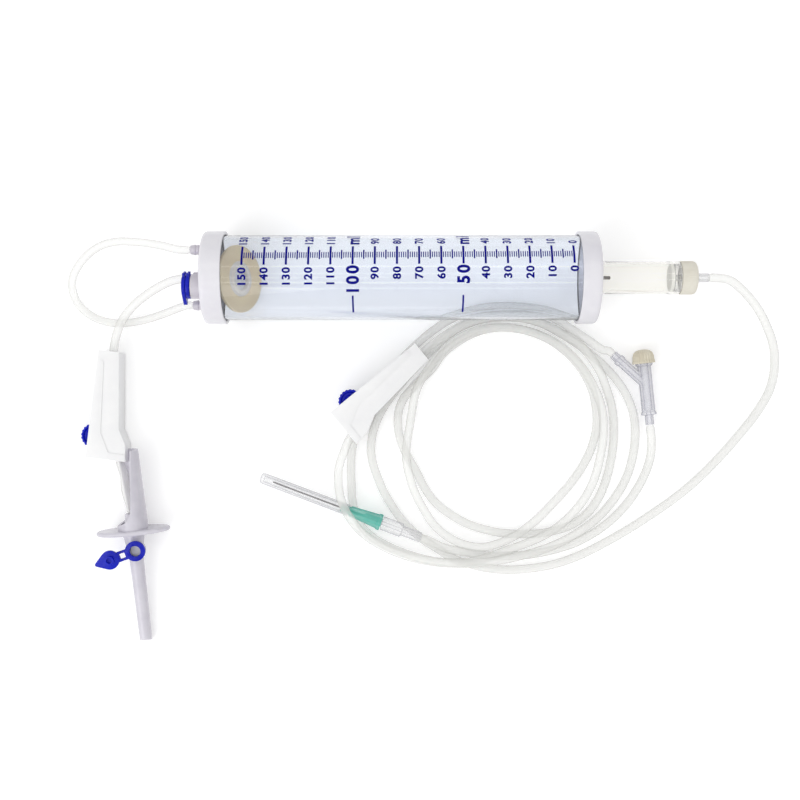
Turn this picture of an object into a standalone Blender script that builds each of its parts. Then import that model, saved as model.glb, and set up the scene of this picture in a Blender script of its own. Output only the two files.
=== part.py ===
"""IV infusion set with a 150 ml burette, lying flat as it would come to rest.

Lengths in the constants are millimetres and are turned into metres where meshes are made.
The plan is X to the right and Y away, with Z up from the surface that the set lies on.
The origin is the middle of the rigid pieces' plan, on that surface.
"""
import math
import bmesh
import bpy
import numpy as np
from mathutils import Euler, Matrix, Vector

MM = 0.001
GAP = 0.3                       # clearance between pieces that touch
PLAN_CENTRE = (-3.84, -18.39)     # middle of the rigid pieces, in the frame that the routes use

# Burette chamber, its axis along +X at the height that its two caps give it
TUBE_R = 19.0
TUBE_WALL = 1.15
CAP_WALL = 1.5
CAP_R = TUBE_R + GAP + CAP_WALL
CHAMBER_LENGTH = 168.8
TOP_CAP_LENGTH = 8.6
BOTTOM_CAP_LENGTH = 7.7
CAP_END = 2.3
CAP_RIM = 1.0
BURETTE_X = -86.6
BURETTE_Y = 55.0
PORT_TURN = math.radians(16)
PORT_OFFSET = 12.6
PORT_R = 2.5
PORT_LENGTH = 7.0
INLET_R = 3.1
INLET_LENGTH = 6.3
VENT_OFFSET = 10.0
VENT_TURN = math.radians(29)
VENT_BOSS_R = 5.4
VENT_BOSS_LENGTH = 5.6
FLOAT_R = 15.3
FLOAT_THICK = 1.6
FLOAT_HOLE_R = 5.2
FLOAT_LEAN = math.radians(-34)
FLOAT_DROP = 4.4                # the disc lies on the bore's lower side
FLOAT_AT = 15.4

# Drip chamber under the burette
DRIP_R = 7.5
DRIP_WALL = 1.0
DRIP_LENGTH = 38.0
DRIP_BOSS_LENGTH = 3.0
DROPPER_R = 0.8
DROPPER_BORE_R = 0.45
DROPPER_LENGTH = 8.0
END_CAP_LENGTH = 7.2
END_CAP_PLUG = 3.0
FILTER_THICK = 1.4
SPIGOT_R = 1.95
SPIGOT_LENGTH = 5.9

# Tubing
TUBING_R = 1.95
LUMEN_R = 1.2
LOOP_R = 1.8
TUBE_STEP = 10.2
TUBE_POINTS_MOST = 80
END_LEAD = 2.0                  # straight stretch that meets a socket face to face

# Roller clamps: x runs from the open side to the back wall, y from the foot up to the top end
CLAMP_LENGTH = 49.5
CLAMP_DEPTH = 13.0
CLAMP_TOP_WIDTH = 9.4
CLAMP_WAIST = (13.6, -35.0)
CLAMP_FLARE = (17.2, -41.5)
CLAMP_FOOT_WIDTH = 18.6
CLAMP_BACK = 1.3
CLAMP_SIDE = 1.6
CLAMP_END = 1.6
CLAMP_RECESS = 0.4
CLAMP_HOLE_R = 2.7
ROLLER_R = 5.7
ROLLER_KNURL = 0.35
ROLLER_TEETH = 20
ROLLER_ACROSS = 1.9
ROLLER_ALONG = -39.4
TRUNNION_R = 1.0
TRACK_TOP = -8.0
TRACK_FOOT = -CLAMP_LENGTH + CLAMP_END + GAP + ROLLER_R
INLET_CLAMP = (-138.0, 23.0, 0.0, math.radians(-7))
FLOW_CLAMP = (6.84, 25.7, 4.4, math.radians(-50.8))
CLAMP_TUBE = [(5.4, 0.5), (6.4, -8.0), (7.5, -17.0), (8.8, -27.0), (10.0, -34.0), (11.6, -39.5),
              (13.3, -44.5), (14.3, -48.0), (14.9, -51.0)]

# Spike, its axis along its own +Y from the point to the guard
SPIKE_AT = (-123.0, -60.3, 8.3)
SPIKE_TURN = (math.radians(5.8), 0.0, math.radians(5.2))
FLANGE_HALF = (17.0, 8.0)
FLANGE_THICK = 2.0
SPIKE_R = 3.2
SPIKE_TIP_R = 2.85
SPIKE_LENGTH = 53.0
SPIKE_SLANT = math.radians(20)      # the tip is cut square, leaning to its underside
SPIKE_NECK_R = 5.0
SOCKET_R = 3.2
SOCKET_LENGTH = 8.2
GUARD_R = 7.0
GUARD_TIP_R = 6.3
GUARD_WALL = 1.2
GUARD_LENGTH = 37.5
GUARD_LEAN = math.radians(4)
SPIKE_VENT_AT = (1.6, -8.0)         # the boss stands a little to one side of the shaft
SPIKE_BOSS_TOP = 6.3
SPIKE_VENT_TURN = math.radians(194.4)

# The two hinged vent caps: boss, collar hole, collar, hinge distance, tab reach, boss bore
SPIKE_VENT = dict(boss=4.2, hole=2.5, collar=4.65, hinge=6.15, tab=7.1, plate=1.6)
CAP_VENT = dict(boss=VENT_BOSS_R, hole=3.2, collar=5.4, hinge=6.6, tab=8.2, plate=1.6)
VENT_FILTER_THICK = 1.0
PLUG_LENGTH = 1.1
HINGE_HALF_GAP = GAP / 2
STRAP_HALF = 2.4
STRAP_INSET = 0.25               # the strap is thinner than the plates that it joins
WINDOW = 1.15

# Injection site on the tubing near the patient's end
SITE_AT = (114.05, 7.3, 5.6)
SITE_TURN = math.radians(5.7)
SITE_R = 3.1
SITE_BORE_R = 1.9
SITE_UP = 10.6
SITE_DOWN = 14.2
SITE_STEM = 4.6
SITE_STEM_R = 1.95
SITE_CAP_R = 5.25
SITE_CAP_LENGTH = 6.5
ARM_ANGLE = math.radians(42.2)
ARM_R = 2.35
ARM_LENGTH = 20.4
ARM_COLLAR_R = 2.75

# Needle, its hub, cover and the luer end, with the axis along its own +X towards the tubing
NEEDLE_AT = (-8.7, -56.7, 7.2)
NEEDLE_TURN = math.radians(-20.6)
HUB_LENGTH = 20.0
HUB_NOSE_R = 1.85
HUB_BASE_R = 3.4
HUB_FLANGE_R = 3.85
CANNULA_R = 0.41
CANNULA_BORE_R = 0.26
CANNULA_LENGTH = 44.2
COVER_R = 2.65
COVER_LENGTH = 43.4
COVER_MOUTH = -16.0
LUER_R = 3.25
LUER_COLLAR = 10.0
LUER_NECK_R = 2.35
LUER_NECK = 9.6
LUER_TIP = 7.0

# The routes' own points, laid by eye along the photographed runs; the tubes take a smooth curve
HANGER_ROUTE = [
    (-100.3, 67.5, 23.8), (-106.3, 69.1, 22.8), (-113.2, 70.5, 21.0), (-120.2, 71.4, 19.0),
    (-127.7, 71.9, 16.8), (-135.4, 70.7, 14.5), (-142.0, 67.5, 12.0), (-147.5, 62.6, 9.5),
    (-151.3, 56.6, 7.0), (-152.0, 50.6, 4.8), (-149.9, 44.6, 3.0), (-144.8, 39.7, 2.0),
    (-138.7, 36.9, 1.9), (-131.5, 35.8, 1.9), (-123.9, 36.3, 3.2), (-116.2, 37.6, 6.6),
    (-108.0, 39.6, 11.4), (-101.1, 41.7, 15.2)]
INLET_ROUTE = [
    (-103.4, 53.6, 19.4), (-109.9, 51.1, 16.4), (-116.6, 47.6, 13.0), (-122.8, 43.2, 10.0),
    (-127.6, 37.9, 7.9), (-130.8, 31.5, 6.8)]
SPIKE_ROUTE = [(-127.6, -34.5, 7.2), (-126.6, -42.0, 8.2)]
OUTLET_ROUTE = [
    (148.5, 54.2, 19.6), (156.4, 49.4, 15.5), (164.6, 41.9, 10.0), (170.3, 33.9, 5.4),
    (174.1, 25.2, 2.7), (174.9, 15.9, 2.0), (172.7, 5.1, 2.0), (166.7, -5.6, 2.0),
    (158.3, -16.3, 2.0), (146.6, -29.4, 2.0), (133.6, -41.6, 2.0), (119.1, -52.3, 2.0),
    (101.3, -63.5, 2.0), (84.1, -72.4, 2.0), (71.4, -76.8, 2.0), (58.4, -78.9, 2.0),
    (47.6, -79.2, 2.0), (39.2, -78.2, 2.0), (32.7, -76.6, 2.0), (27.1, -75.0, 2.0),
    (21.9, -72.4, 2.0), (17.3, -69.3, 2.0), (11.7, -65.8, 2.0), (5.6, -60.9, 2.0),
    (0.5, -55.6, 2.0), (-3.7, -49.5, 2.0), (-7.5, -43.0, 2.0), (-10.7, -35.5, 2.0),
    (-12.8, -29.0, 2.0), (-13.5, -21.9, 2.0), (-12.1, -13.1, 2.0), (-8.4, -4.7, 2.0),
    (-3.3, 2.8, 2.0), (2.8, 10.3, 2.0), (9.3, 17.5, 2.0), (15.4, 24.0, 2.0),
    (21.9, 29.9, 2.0), (29.4, 34.6, 2.0), (37.4, 37.4, 2.0), (46.7, 38.6, 2.0),
    (56.0, 38.3, 2.0), (65.4, 36.0, 2.0), (74.7, 31.3, 2.0), (84.1, 25.2, 2.0),
    (92.0, 18.9, 2.0), (98.5, 12.6, 2.0), (103.7, 5.8, 2.0), (107.4, -1.4, 2.0),
    (109.5, -9.3, 2.0), (109.7, -18.7, 2.0), (108.3, -28.0, 2.0), (105.4, -36.9, 2.0),
    (99.9, -46.2, 2.0), (93.4, -53.9, 2.2), (84.7, -60.5, 3.7), (75.1, -65.6, 5.8),
    (65.2, -69.4, 7.2), (55.3, -71.9, 8.9), (46.0, -73.7, 10.4), (36.7, -74.8, 10.8),
    (27.6, -75.1, 10.8), (18.4, -74.7, 10.5), (9.2, -73.5, 8.9), (0.9, -71.4, 7.3),
    (-6.9, -68.3, 6.5), (-13.9, -64.1, 7.4), (-19.8, -58.4, 10.6), (-24.3, -51.8, 12.7),
    (-27.0, -45.3, 13.2), (-28.2, -38.4, 12.7), (-28.0, -31.0, 11.9), (-25.6, -23.6, 11.2)]
MIDDLE_ROUTE = [
    (14.5, 25.3, 10.8), (19.9, 29.1, 10.3), (25.8, 32.9, 9.3), (32.3, 35.9, 8.0),
    (39.3, 37.7, 6.8), (46.3, 38.3, 6.5), (55.6, 38.0, 6.5), (64.8, 35.9, 6.5),
    (74.1, 31.5, 6.5), (83.4, 25.5, 6.5), (88.9, 19.0, 6.5), (93.0, 12.5, 5.7),
    (96.4, 4.7, 3.5), (98.7, -2.3, 2.2), (99.7, -9.3, 2.0), (99.7, -18.7, 2.0),
    (98.5, -28.0, 2.0), (96.3, -36.9, 2.0), (92.9, -45.3, 2.0), (88.0, -52.3, 2.0),
    (80.8, -57.9, 2.0), (72.8, -60.9, 2.0), (64.4, -62.3, 2.0), (56.0, -62.6, 2.0),
    (47.6, -62.1, 2.0), (39.7, -60.5, 2.0), (32.2, -58.1, 2.0), (24.3, -53.9, 2.0),
    (16.3, -47.6, 2.0), (11.2, -40.6, 2.0), (7.7, -33.6, 2.0), (3.7, -26.6, 2.0),
    (0.7, -20.1, 2.0), (-0.9, -13.1, 2.0), (-0.7, -5.6, 2.0), (1.4, 0.2, 2.0),
    (5.4, 5.1, 2.0), (10.0, 9.8, 2.0), (15.2, 14.9, 2.0), (19.6, 21.2, 2.0),
    (26.2, 26.6, 2.0), (33.6, 30.8, 2.0), (41.1, 33.2, 2.0), (49.5, 33.9, 2.0),
    (57.9, 32.7, 2.0), (65.8, 30.1, 2.0), (73.3, 25.9, 2.0), (80.3, 19.8, 2.0),
    (85.9, 12.6, 2.0), (89.7, 4.7, 2.0), (91.5, -3.7, 2.0), (91.8, -12.1, 2.0),
    (89.7, -21.5, 2.0), (85.5, -30.4, 2.0), (79.3, -39.2, 2.6), (71.1, -47.9, 4.4),
    (63.0, -55.6, 6.3), (54.6, -62.0, 6.6), (46.3, -66.2, 6.5), (38.0, -68.1, 6.5),
    (29.6, -66.9, 6.4), (22.3, -63.5, 5.9), (15.8, -58.0, 5.2), (10.9, -50.6, 5.1),
    (7.0, -43.1, 5.6), (4.4, -35.2, 6.4), (2.9, -27.3, 6.5), (3.2, -19.9, 6.4),
    (4.4, -12.5, 4.8), (5.6, -5.1, 4.0), (6.7, 1.4, 5.8), (8.8, 7.4, 6.4),
    (12.5, 13.4, 6.5), (17.1, 19.7, 6.5), (22.7, 25.2, 6.5), (29.2, 29.6, 6.5),
    (37.0, 32.6, 6.5), (46.3, 33.6, 6.5), (55.6, 32.8, 6.5), (63.9, 30.4, 6.5),
    (71.8, 26.6, 6.5), (79.0, 21.1, 6.5), (85.0, 14.1, 6.5), (89.6, 6.5, 6.5),
    (92.9, -1.4, 6.2), (94.3, -9.7, 6.0), (94.1, -18.5, 6.1), (92.6, -26.9, 6.3),
    (90.3, -35.7, 6.3), (86.4, -44.0, 6.5), (80.8, -51.6, 6.5), (73.6, -58.3, 6.5),
    (65.3, -63.4, 6.5), (56.5, -67.1, 6.5), (47.7, -70.2, 6.5), (40.7, -72.8, 6.5),
    (34.3, -74.6, 6.5), (27.3, -75.2, 6.5), (19.9, -75.2, 6.3), (11.2, -73.9, 4.7),
    (2.8, -71.7, 2.6), (-5.1, -68.6, 2.0), (-12.1, -64.6, 2.0), (-17.7, -59.3, 2.0),
    (-21.0, -53.2, 2.0), (-22.3, -46.2, 2.0), (-22.7, -38.8, 2.0), (-22.9, -31.3, 2.0),
    (-22.4, -23.3, 2.0), (-20.3, -14.5, 2.0), (-16.6, -5.6, 2.0), (-11.4, 3.3, 2.0),
    (-5.1, 11.9, 2.0), (1.9, 20.1, 2.0), (8.4, 26.6, 2.0), (14.9, 32.0, 2.0),
    (21.9, 36.7, 2.0), (29.4, 40.2, 2.0), (37.8, 42.5, 2.0), (46.7, 43.3, 2.0),
    (56.0, 42.8, 2.0), (65.4, 41.1, 2.0), (73.3, 37.5, 2.5), (80.5, 32.6, 3.7),
    (88.2, 27.3, 4.9), (94.2, 23.2, 5.5)]
PATIENT_ROUTE = [
    (116.9, -18.6, 4.5), (116.9, -25.6, 2.8), (115.6, -31.3, 2.0), (112.8, -37.8, 2.0),
    (107.4, -46.5, 2.0), (100.2, -54.6, 2.0), (92.0, -61.1, 2.0), (81.7, -66.7, 2.0),
    (71.0, -70.1, 2.0), (60.7, -72.1, 2.0), (51.4, -72.8, 2.0), (43.9, -72.8, 2.0),
    (38.3, -72.4, 2.0), (32.6, -71.3, 3.0), (26.5, -70.0, 5.0), (19.9, -68.2, 6.6)]

COLOURS = {
    "burette_tube": ((0.80, 0.85, 0.90), 0.15), "burette_top_cap": ((0.83, 0.81, 0.86), 0.4),
    "burette_bottom_cap": ((0.83, 0.81, 0.86), 0.4), "float_disc": ((0.72, 0.66, 0.52), 0.5),
    "burette_vent_filter": ((0.90, 0.90, 0.88), 0.8), "burette_vent_collar": ((0.03, 0.05, 0.55), 0.35),
    "burette_vent_cap": ((0.03, 0.05, 0.55), 0.35), "drip_dropper": ((0.62, 0.62, 0.62), 0.25),
    "drip_chamber": ((0.86, 0.87, 0.86), 0.2), "drip_end_cap": ((0.72, 0.68, 0.60), 0.45),
    "fluid_filter": ((0.88, 0.88, 0.86), 0.8), "hanger_loop": ((0.86, 0.86, 0.84), 0.35),
    "inlet_tube": ((0.84, 0.84, 0.78), 0.3), "inlet_clamp_body": ((0.90, 0.90, 0.89), 0.4),
    "inlet_clamp_roller": ((0.02, 0.04, 0.60), 0.35), "spike_body": ((0.80, 0.78, 0.83), 0.4),
    "spike_vent_filter": ((0.88, 0.88, 0.88), 0.8), "spike_vent_collar": ((0.03, 0.05, 0.55), 0.35),
    "spike_vent_cap": ((0.03, 0.05, 0.55), 0.35), "outlet_tube": ((0.84, 0.84, 0.78), 0.3),
    "flow_clamp_body": ((0.90, 0.90, 0.89), 0.4), "flow_clamp_roller": ((0.02, 0.04, 0.60), 0.35),
    "middle_tube": ((0.84, 0.84, 0.78), 0.3), "y_site_body": ((0.76, 0.76, 0.80), 0.2),
    "y_site_cap": ((0.52, 0.42, 0.26), 0.55), "patient_tube": ((0.84, 0.84, 0.78), 0.3),
    "luer_connector": ((0.88, 0.88, 0.88), 0.25), "needle_hub": ((0.0, 0.32, 0.24), 0.3),
    "needle_cannula": ((0.55, 0.55, 0.56), 0.2), "needle_cover": ((0.86, 0.86, 0.86), 0.2),
}


# Building blocks

def clear_scene():
    for item in list(bpy.data.objects):
        bpy.data.objects.remove(item, do_unlink=True)


def add_empty(name, place, turn=(0.0, 0.0, 0.0), parent=None):
    """A frame for a group of pieces; place is in millimetres, in the parent or in the plan."""
    empty = bpy.data.objects.new(name, None)
    bpy.context.collection.objects.link(empty)
    x, y, z = place
    if parent is None:
        x, y = x - PLAN_CENTRE[0], y - PLAN_CENTRE[1]
    empty.parent = parent
    empty.location = (x * MM, y * MM, z * MM)
    empty.rotation_euler = turn
    return empty


def make_material(name):
    colour, rough = COLOURS[name]
    material = bpy.data.materials.new(name)
    material.use_nodes = True
    shader = material.node_tree.nodes["Principled BSDF"]
    shader.inputs["Base Color"].default_value = (*colour, 1.0)
    shader.inputs["Roughness"].default_value = rough
    shader.inputs["Metallic"].default_value = 1.0 if "cannula" in name or "dropper" in name else 0.0
    return material


def finish_object(name, bm, parent, smooth=True):
    """Turn a bmesh in millimetres into a named object in metres."""
    bmesh.ops.recalc_face_normals(bm, faces=bm.faces)
    bmesh.ops.scale(bm, vec=(MM, MM, MM), verts=bm.verts)
    mesh = bpy.data.meshes.new(name)
    bm.to_mesh(mesh)
    bm.free()
    item = bpy.data.objects.new(name, mesh)
    bpy.context.collection.objects.link(item)
    item.parent = parent
    if smooth:
        mesh.shade_smooth()
        mesh.set_sharp_from_angle(angle=math.radians(35))
    if name in COLOURS:
        mesh.materials.append(make_material(name))
    return item


def turned(profile, segments, ring=False, axis="Z", at=(0.0, 0.0, 0.0), ripple=None):
    """Turn a profile of (radius, height) about an axis.

    ring joins the profile's end to its start; otherwise flat faces close it. ripple is the
    (least radius, depth) of a knurled rim.
    """
    bm = bmesh.new()
    rings = []
    for radius, height in profile:
        circle = []
        for i in range(segments):
            knurled = ripple and radius >= ripple[0] and i % 2
            r = radius - ripple[1] if knurled else radius
            a = 2 * math.pi * i / segments
            circle.append(bm.verts.new((r * math.cos(a), r * math.sin(a), height)))
        rings.append(circle)
    pairs = list(zip(rings, rings[1:]))
    if ring:
        pairs.append((rings[-1], rings[0]))
    else:
        bm.faces.new(rings[0])
        bm.faces.new(rings[-1])
    for low, high in pairs:
        for i in range(segments):
            j = (i + 1) % segments
            bm.faces.new((low[i], low[j], high[j], high[i]))
    if axis == "X":
        bmesh.ops.rotate(bm, matrix=Matrix.Rotation(math.radians(90), 3, "Y"), verts=bm.verts)
    elif axis == "Y":
        bmesh.ops.rotate(bm, matrix=Matrix.Rotation(math.radians(-90), 3, "X"), verts=bm.verts)
    bmesh.ops.translate(bm, vec=at, verts=bm.verts)
    return bm


def extruded(outline, low, high):
    """A prism of an (x, y) outline between two heights."""
    bm = bmesh.new()
    face = bm.faces.new([bm.verts.new((x, y, low)) for x, y in outline])
    side = bmesh.ops.extrude_face_region(bm, geom=[face])
    top = [v for v in side["geom"] if isinstance(v, bmesh.types.BMVert)]
    bmesh.ops.translate(bm, vec=(0, 0, high - low), verts=top)
    return bm


def turn_bm(bm, turn, at=(0.0, 0.0, 0.0)):
    bmesh.ops.rotate(bm, matrix=Euler(turn).to_matrix(), verts=bm.verts)
    bmesh.ops.translate(bm, vec=at, verts=bm.verts)
    return bm


def arc(cx, cy, r, start, end, count):
    """Points of an arc, angles in degrees."""
    steps = [math.radians(start + (end - start) * i / count) for i in range(count + 1)]
    return [(cx + r * math.cos(a), cy + r * math.sin(a)) for a in steps]


def combine(target, tools, operation):
    """Join or cut with hidden tool objects that stay as modifiers."""
    for number, bm in enumerate(tools):
        tool = finish_object(f"{target.name}_{operation.lower()}_{number}", bm, target.parent, False)
        tool.hide_render = True
        tool.display_type = "WIRE"
        change = target.modifiers.new(f"{operation} {number}", "BOOLEAN")
        change.operation = operation
        change.solver = "EXACT"
        change.object = tool


def smooth_points(points, spacing, most):
    """Evenly spaced points on a centripetal Catmull-Rom curve through the route's points."""
    knots = np.array(points, float)
    knots = np.vstack([2 * knots[0] - knots[1], knots, 2 * knots[-1] - knots[-2]])
    dense = []
    for i in range(1, len(knots) - 2):
        p = knots[i - 1:i + 3]
        t = np.concatenate([[0.0], np.cumsum(np.sqrt(np.linalg.norm(np.diff(p, axis=0), axis=1)))])
        for u in np.linspace(t[1], t[2], 12, endpoint=False):
            level = list(p)
            for depth in (1, 2):
                level = [((t[k + depth] - u) * level[k] + (u - t[k]) * level[k + 1])
                         / (t[k + depth] - t[k]) for k in range(len(level) - 1)]
            dense.append(((t[2] - u) * level[0] + (u - t[1]) * level[1]) / (t[2] - t[1]))
    dense = np.array(dense + [knots[-2]])
    run = np.concatenate([[0.0], np.cumsum(np.linalg.norm(np.diff(dense, axis=0), axis=1))])
    count = min(most, max(8, int(round(run[-1] / spacing)) + 1))
    inner = np.linspace(0.0, run[-1], count)[1:-1]
    marks = np.concatenate([[0.0, END_LEAD], inner, [run[-1] - END_LEAD, run[-1]]])
    return np.column_stack([np.interp(marks, run, dense[:, k]) for k in range(3)])


def plan_point(frame, x, y, z):
    """A point of a frame, back in the millimetres of the plan."""
    bpy.context.view_layer.update()
    p = frame.matrix_world @ Vector((x * MM, y * MM, z * MM)) / MM
    return (p.x + PLAN_CENTRE[0], p.y + PLAN_CENTRE[1], p.z)


def socket_points(frame, place, direction):
    """A tube's first two points at a socket: its face, a gap away, and the straight lead."""
    face = Vector(place) + Vector(direction) * GAP
    lead = face + Vector(direction) * END_LEAD * 1.2
    return [plan_point(frame, *face), plan_point(frame, *lead)]


def lay_tube(name, points, radius=TUBING_R):
    """A length of tubing as a bevelled curve with filled ends."""
    curve = bpy.data.curves.new(name, "CURVE")
    curve.dimensions = "3D"
    curve.bevel_depth = radius * MM
    curve.bevel_resolution = 2
    curve.use_fill_caps = True
    places = smooth_points(points, TUBE_STEP, TUBE_POINTS_MOST)
    spline = curve.splines.new("POLY")
    spline.points.add(len(places) - 1)
    for point, (x, y, z) in zip(spline.points, places):
        point.co = ((x - PLAN_CENTRE[0]) * MM, (y - PLAN_CENTRE[1]) * MM, z * MM, 1.0)
    curve.materials.append(make_material(name))
    item = bpy.data.objects.new(name, curve)
    bpy.context.collection.objects.link(item)
    return item


# Burette: local +Z runs from the top cap to the drip chamber, local -X is up

def cap_profile(length):
    """Section of a cap, from its outer face at 0 to the end of its skirt, with a pressed rim."""
    inner = TUBE_R + GAP
    return [
        (CAP_R - 3.6, 0), (CAP_R - 3.2, -CAP_RIM), (CAP_R - 1.5, -CAP_RIM),
        (CAP_R - 0.45, -0.55), (CAP_R, 0.55), (CAP_R, length), (inner, length),
        (inner, CAP_END)]


def port_place(side):
    """Hanger port's place on the cap: local -X is up and +Y is away."""
    return (-side * PORT_OFFSET * math.sin(PORT_TURN), side * PORT_OFFSET * math.cos(PORT_TURN))


def vent_place():
    return (-VENT_OFFSET * math.cos(VENT_TURN), -VENT_OFFSET * math.sin(VENT_TURN))


def barbed_port(radius, length, bore):
    """A ridged hollow nipple that points out of a cap, towards -Z."""
    r, n = radius, length
    return turned([
        (bore, 0.6), (r, 0.6), (r, -0.8), (r - 0.5, -1.0), (r - 0.5, -1.6), (r - 0.1, -1.8),
        (r - 0.5, -3.0), (r - 0.1, -3.2), (r - 0.5, -4.4), (r - 0.1, -4.6), (r - 0.5, -n),
        (bore, -n)], 16, ring=True)


def make_burette():
    frame = add_empty("burette_frame", (BURETTE_X, BURETTE_Y, CAP_R), (0, math.radians(90), 0))
    start = CAP_END + 0.2
    end = start + CHAMBER_LENGTH
    face = end + 0.2 + CAP_END
    finish_object("burette_tube", turned([
        (TUBE_R, start), (TUBE_R, end), (TUBE_R - TUBE_WALL, end), (TUBE_R - TUBE_WALL, start)],
        48, ring=True), frame)

    top = finish_object("burette_top_cap", turned(cap_profile(TOP_CAP_LENGTH), 48), frame)
    joins = []
    for side in (1, -1):
        x, y = port_place(side)
        port = barbed_port(PORT_R, PORT_LENGTH, 0.9)
        bmesh.ops.translate(port, vec=(x, y, 0), verts=port.verts)
        joins.append(port)
    joins.append(turned([
        (INLET_R, 0.6), (INLET_R, -2.2), (INLET_R - 0.4, -2.6), (INLET_R - 0.6, -INLET_LENGTH)], 20))
    vx, vy = vent_place()
    joins.append(turned([(VENT_BOSS_R + 0.8, 0.6), (VENT_BOSS_R + 0.8, -0.7), (VENT_BOSS_R, -1.0),
        (VENT_BOSS_R, -VENT_BOSS_LENGTH)], 24, at=(vx, vy, 0)))
    combine(top, joins, "UNION")
    combine(top, [
        turned([(LUMEN_R, CAP_END + 2), (LUMEN_R, -INLET_LENGTH - 1)], 16),
        turned([(CAP_VENT["hole"] + 0.4, -1.2), (CAP_VENT["hole"] + 0.4, -VENT_BOSS_LENGTH - 1)], 20,
               at=(vx, vy, 0)),
        turned([(1.0, CAP_END + 2), (1.0, -2)], 12, at=(vx, vy, 0)),
    ], "DIFFERENCE")

    bottom_frame = add_empty("bottom_cap_frame", (0, 0, face), (math.radians(180), 0, 0), frame)
    bottom = finish_object("burette_bottom_cap", turned(cap_profile(BOTTOM_CAP_LENGTH), 48),
                           bottom_frame)
    boss_r = DRIP_R - DRIP_WALL - GAP
    combine(bottom, [turned([(boss_r, 0.6), (boss_r, -DRIP_BOSS_LENGTH)],
                            24)], "UNION")
    combine(bottom, [turned([(DROPPER_R + GAP, CAP_END + 2),
                             (DROPPER_R + GAP, -DRIP_BOSS_LENGTH - 2)], 16)],
            "DIFFERENCE")

    float_frame = add_empty("float_frame", (FLOAT_DROP, 0, FLOAT_AT), (0, FLOAT_LEAN, 0), frame)
    finish_object("float_disc", turned([
        (FLOAT_R, -FLOAT_THICK / 2), (FLOAT_R, FLOAT_THICK / 2), (FLOAT_HOLE_R + 1.4, FLOAT_THICK / 2),
        (FLOAT_HOLE_R + 1.2, FLOAT_THICK * 1.1), (FLOAT_HOLE_R, FLOAT_THICK * 1.1),
        (FLOAT_HOLE_R, -FLOAT_THICK / 2)], 36, ring=True), float_frame)
    return frame, face


def make_drip_chamber(frame, face):
    """Chamber, dropper, filter and end cap, in line with the burette."""
    boss_tip = face + DRIP_BOSS_LENGTH
    finish_object("drip_dropper", turned([
        (DROPPER_R, boss_tip - 3.5), (DROPPER_R, boss_tip - 3.5 + DROPPER_LENGTH),
        (DROPPER_BORE_R, boss_tip - 3.5 + DROPPER_LENGTH), (DROPPER_BORE_R, boss_tip - 3.5)],
        12, ring=True), frame)
    start = face + GAP
    end = start + DRIP_LENGTH
    inner = DRIP_R - DRIP_WALL
    finish_object("drip_chamber", turned([
        (inner, start), (DRIP_R, start), (DRIP_R, start + 1.5), (DRIP_R - 0.25, start + 4.5),
        (DRIP_R - 0.25, end - 5.5), (DRIP_R, end - 4.0), (DRIP_R, end), (inner, end)],
        28, ring=True), frame)
    shoulder = end + GAP
    plug_tip = shoulder - END_CAP_PLUG
    base = shoulder + END_CAP_LENGTH
    spigot_end = base + SPIGOT_LENGTH
    plug = inner - GAP
    finish_object("drip_end_cap", turned([
        (LUMEN_R, plug_tip), (plug, plug_tip), (plug, shoulder), (DRIP_R, shoulder),
        (DRIP_R, base - 1.4), (DRIP_R - 0.4, base - 0.5), (DRIP_R - 1.2, base),
        (SPIGOT_R + 1.2, base), (SPIGOT_R, base + 1.2), (SPIGOT_R, spigot_end),
        (LUMEN_R, spigot_end)], 28, ring=True), frame)
    filter_end = plug_tip - GAP
    finish_object("fluid_filter", turned([
        (plug, filter_end - FILTER_THICK), (plug, filter_end)], 24), frame)
    return spigot_end


# Hinged vent caps

def strap_end(reach, start, half=STRAP_HALF, window=WINDOW):
    """Two lugs beside a square window, up to the hinge line at reach."""
    edge = reach - HINGE_HALF_GAP
    return [(start, -half), (edge, -half), (edge, -window), (edge - window, -window),
            (edge - window, window), (edge, window), (edge, half), (start, half)]


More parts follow.
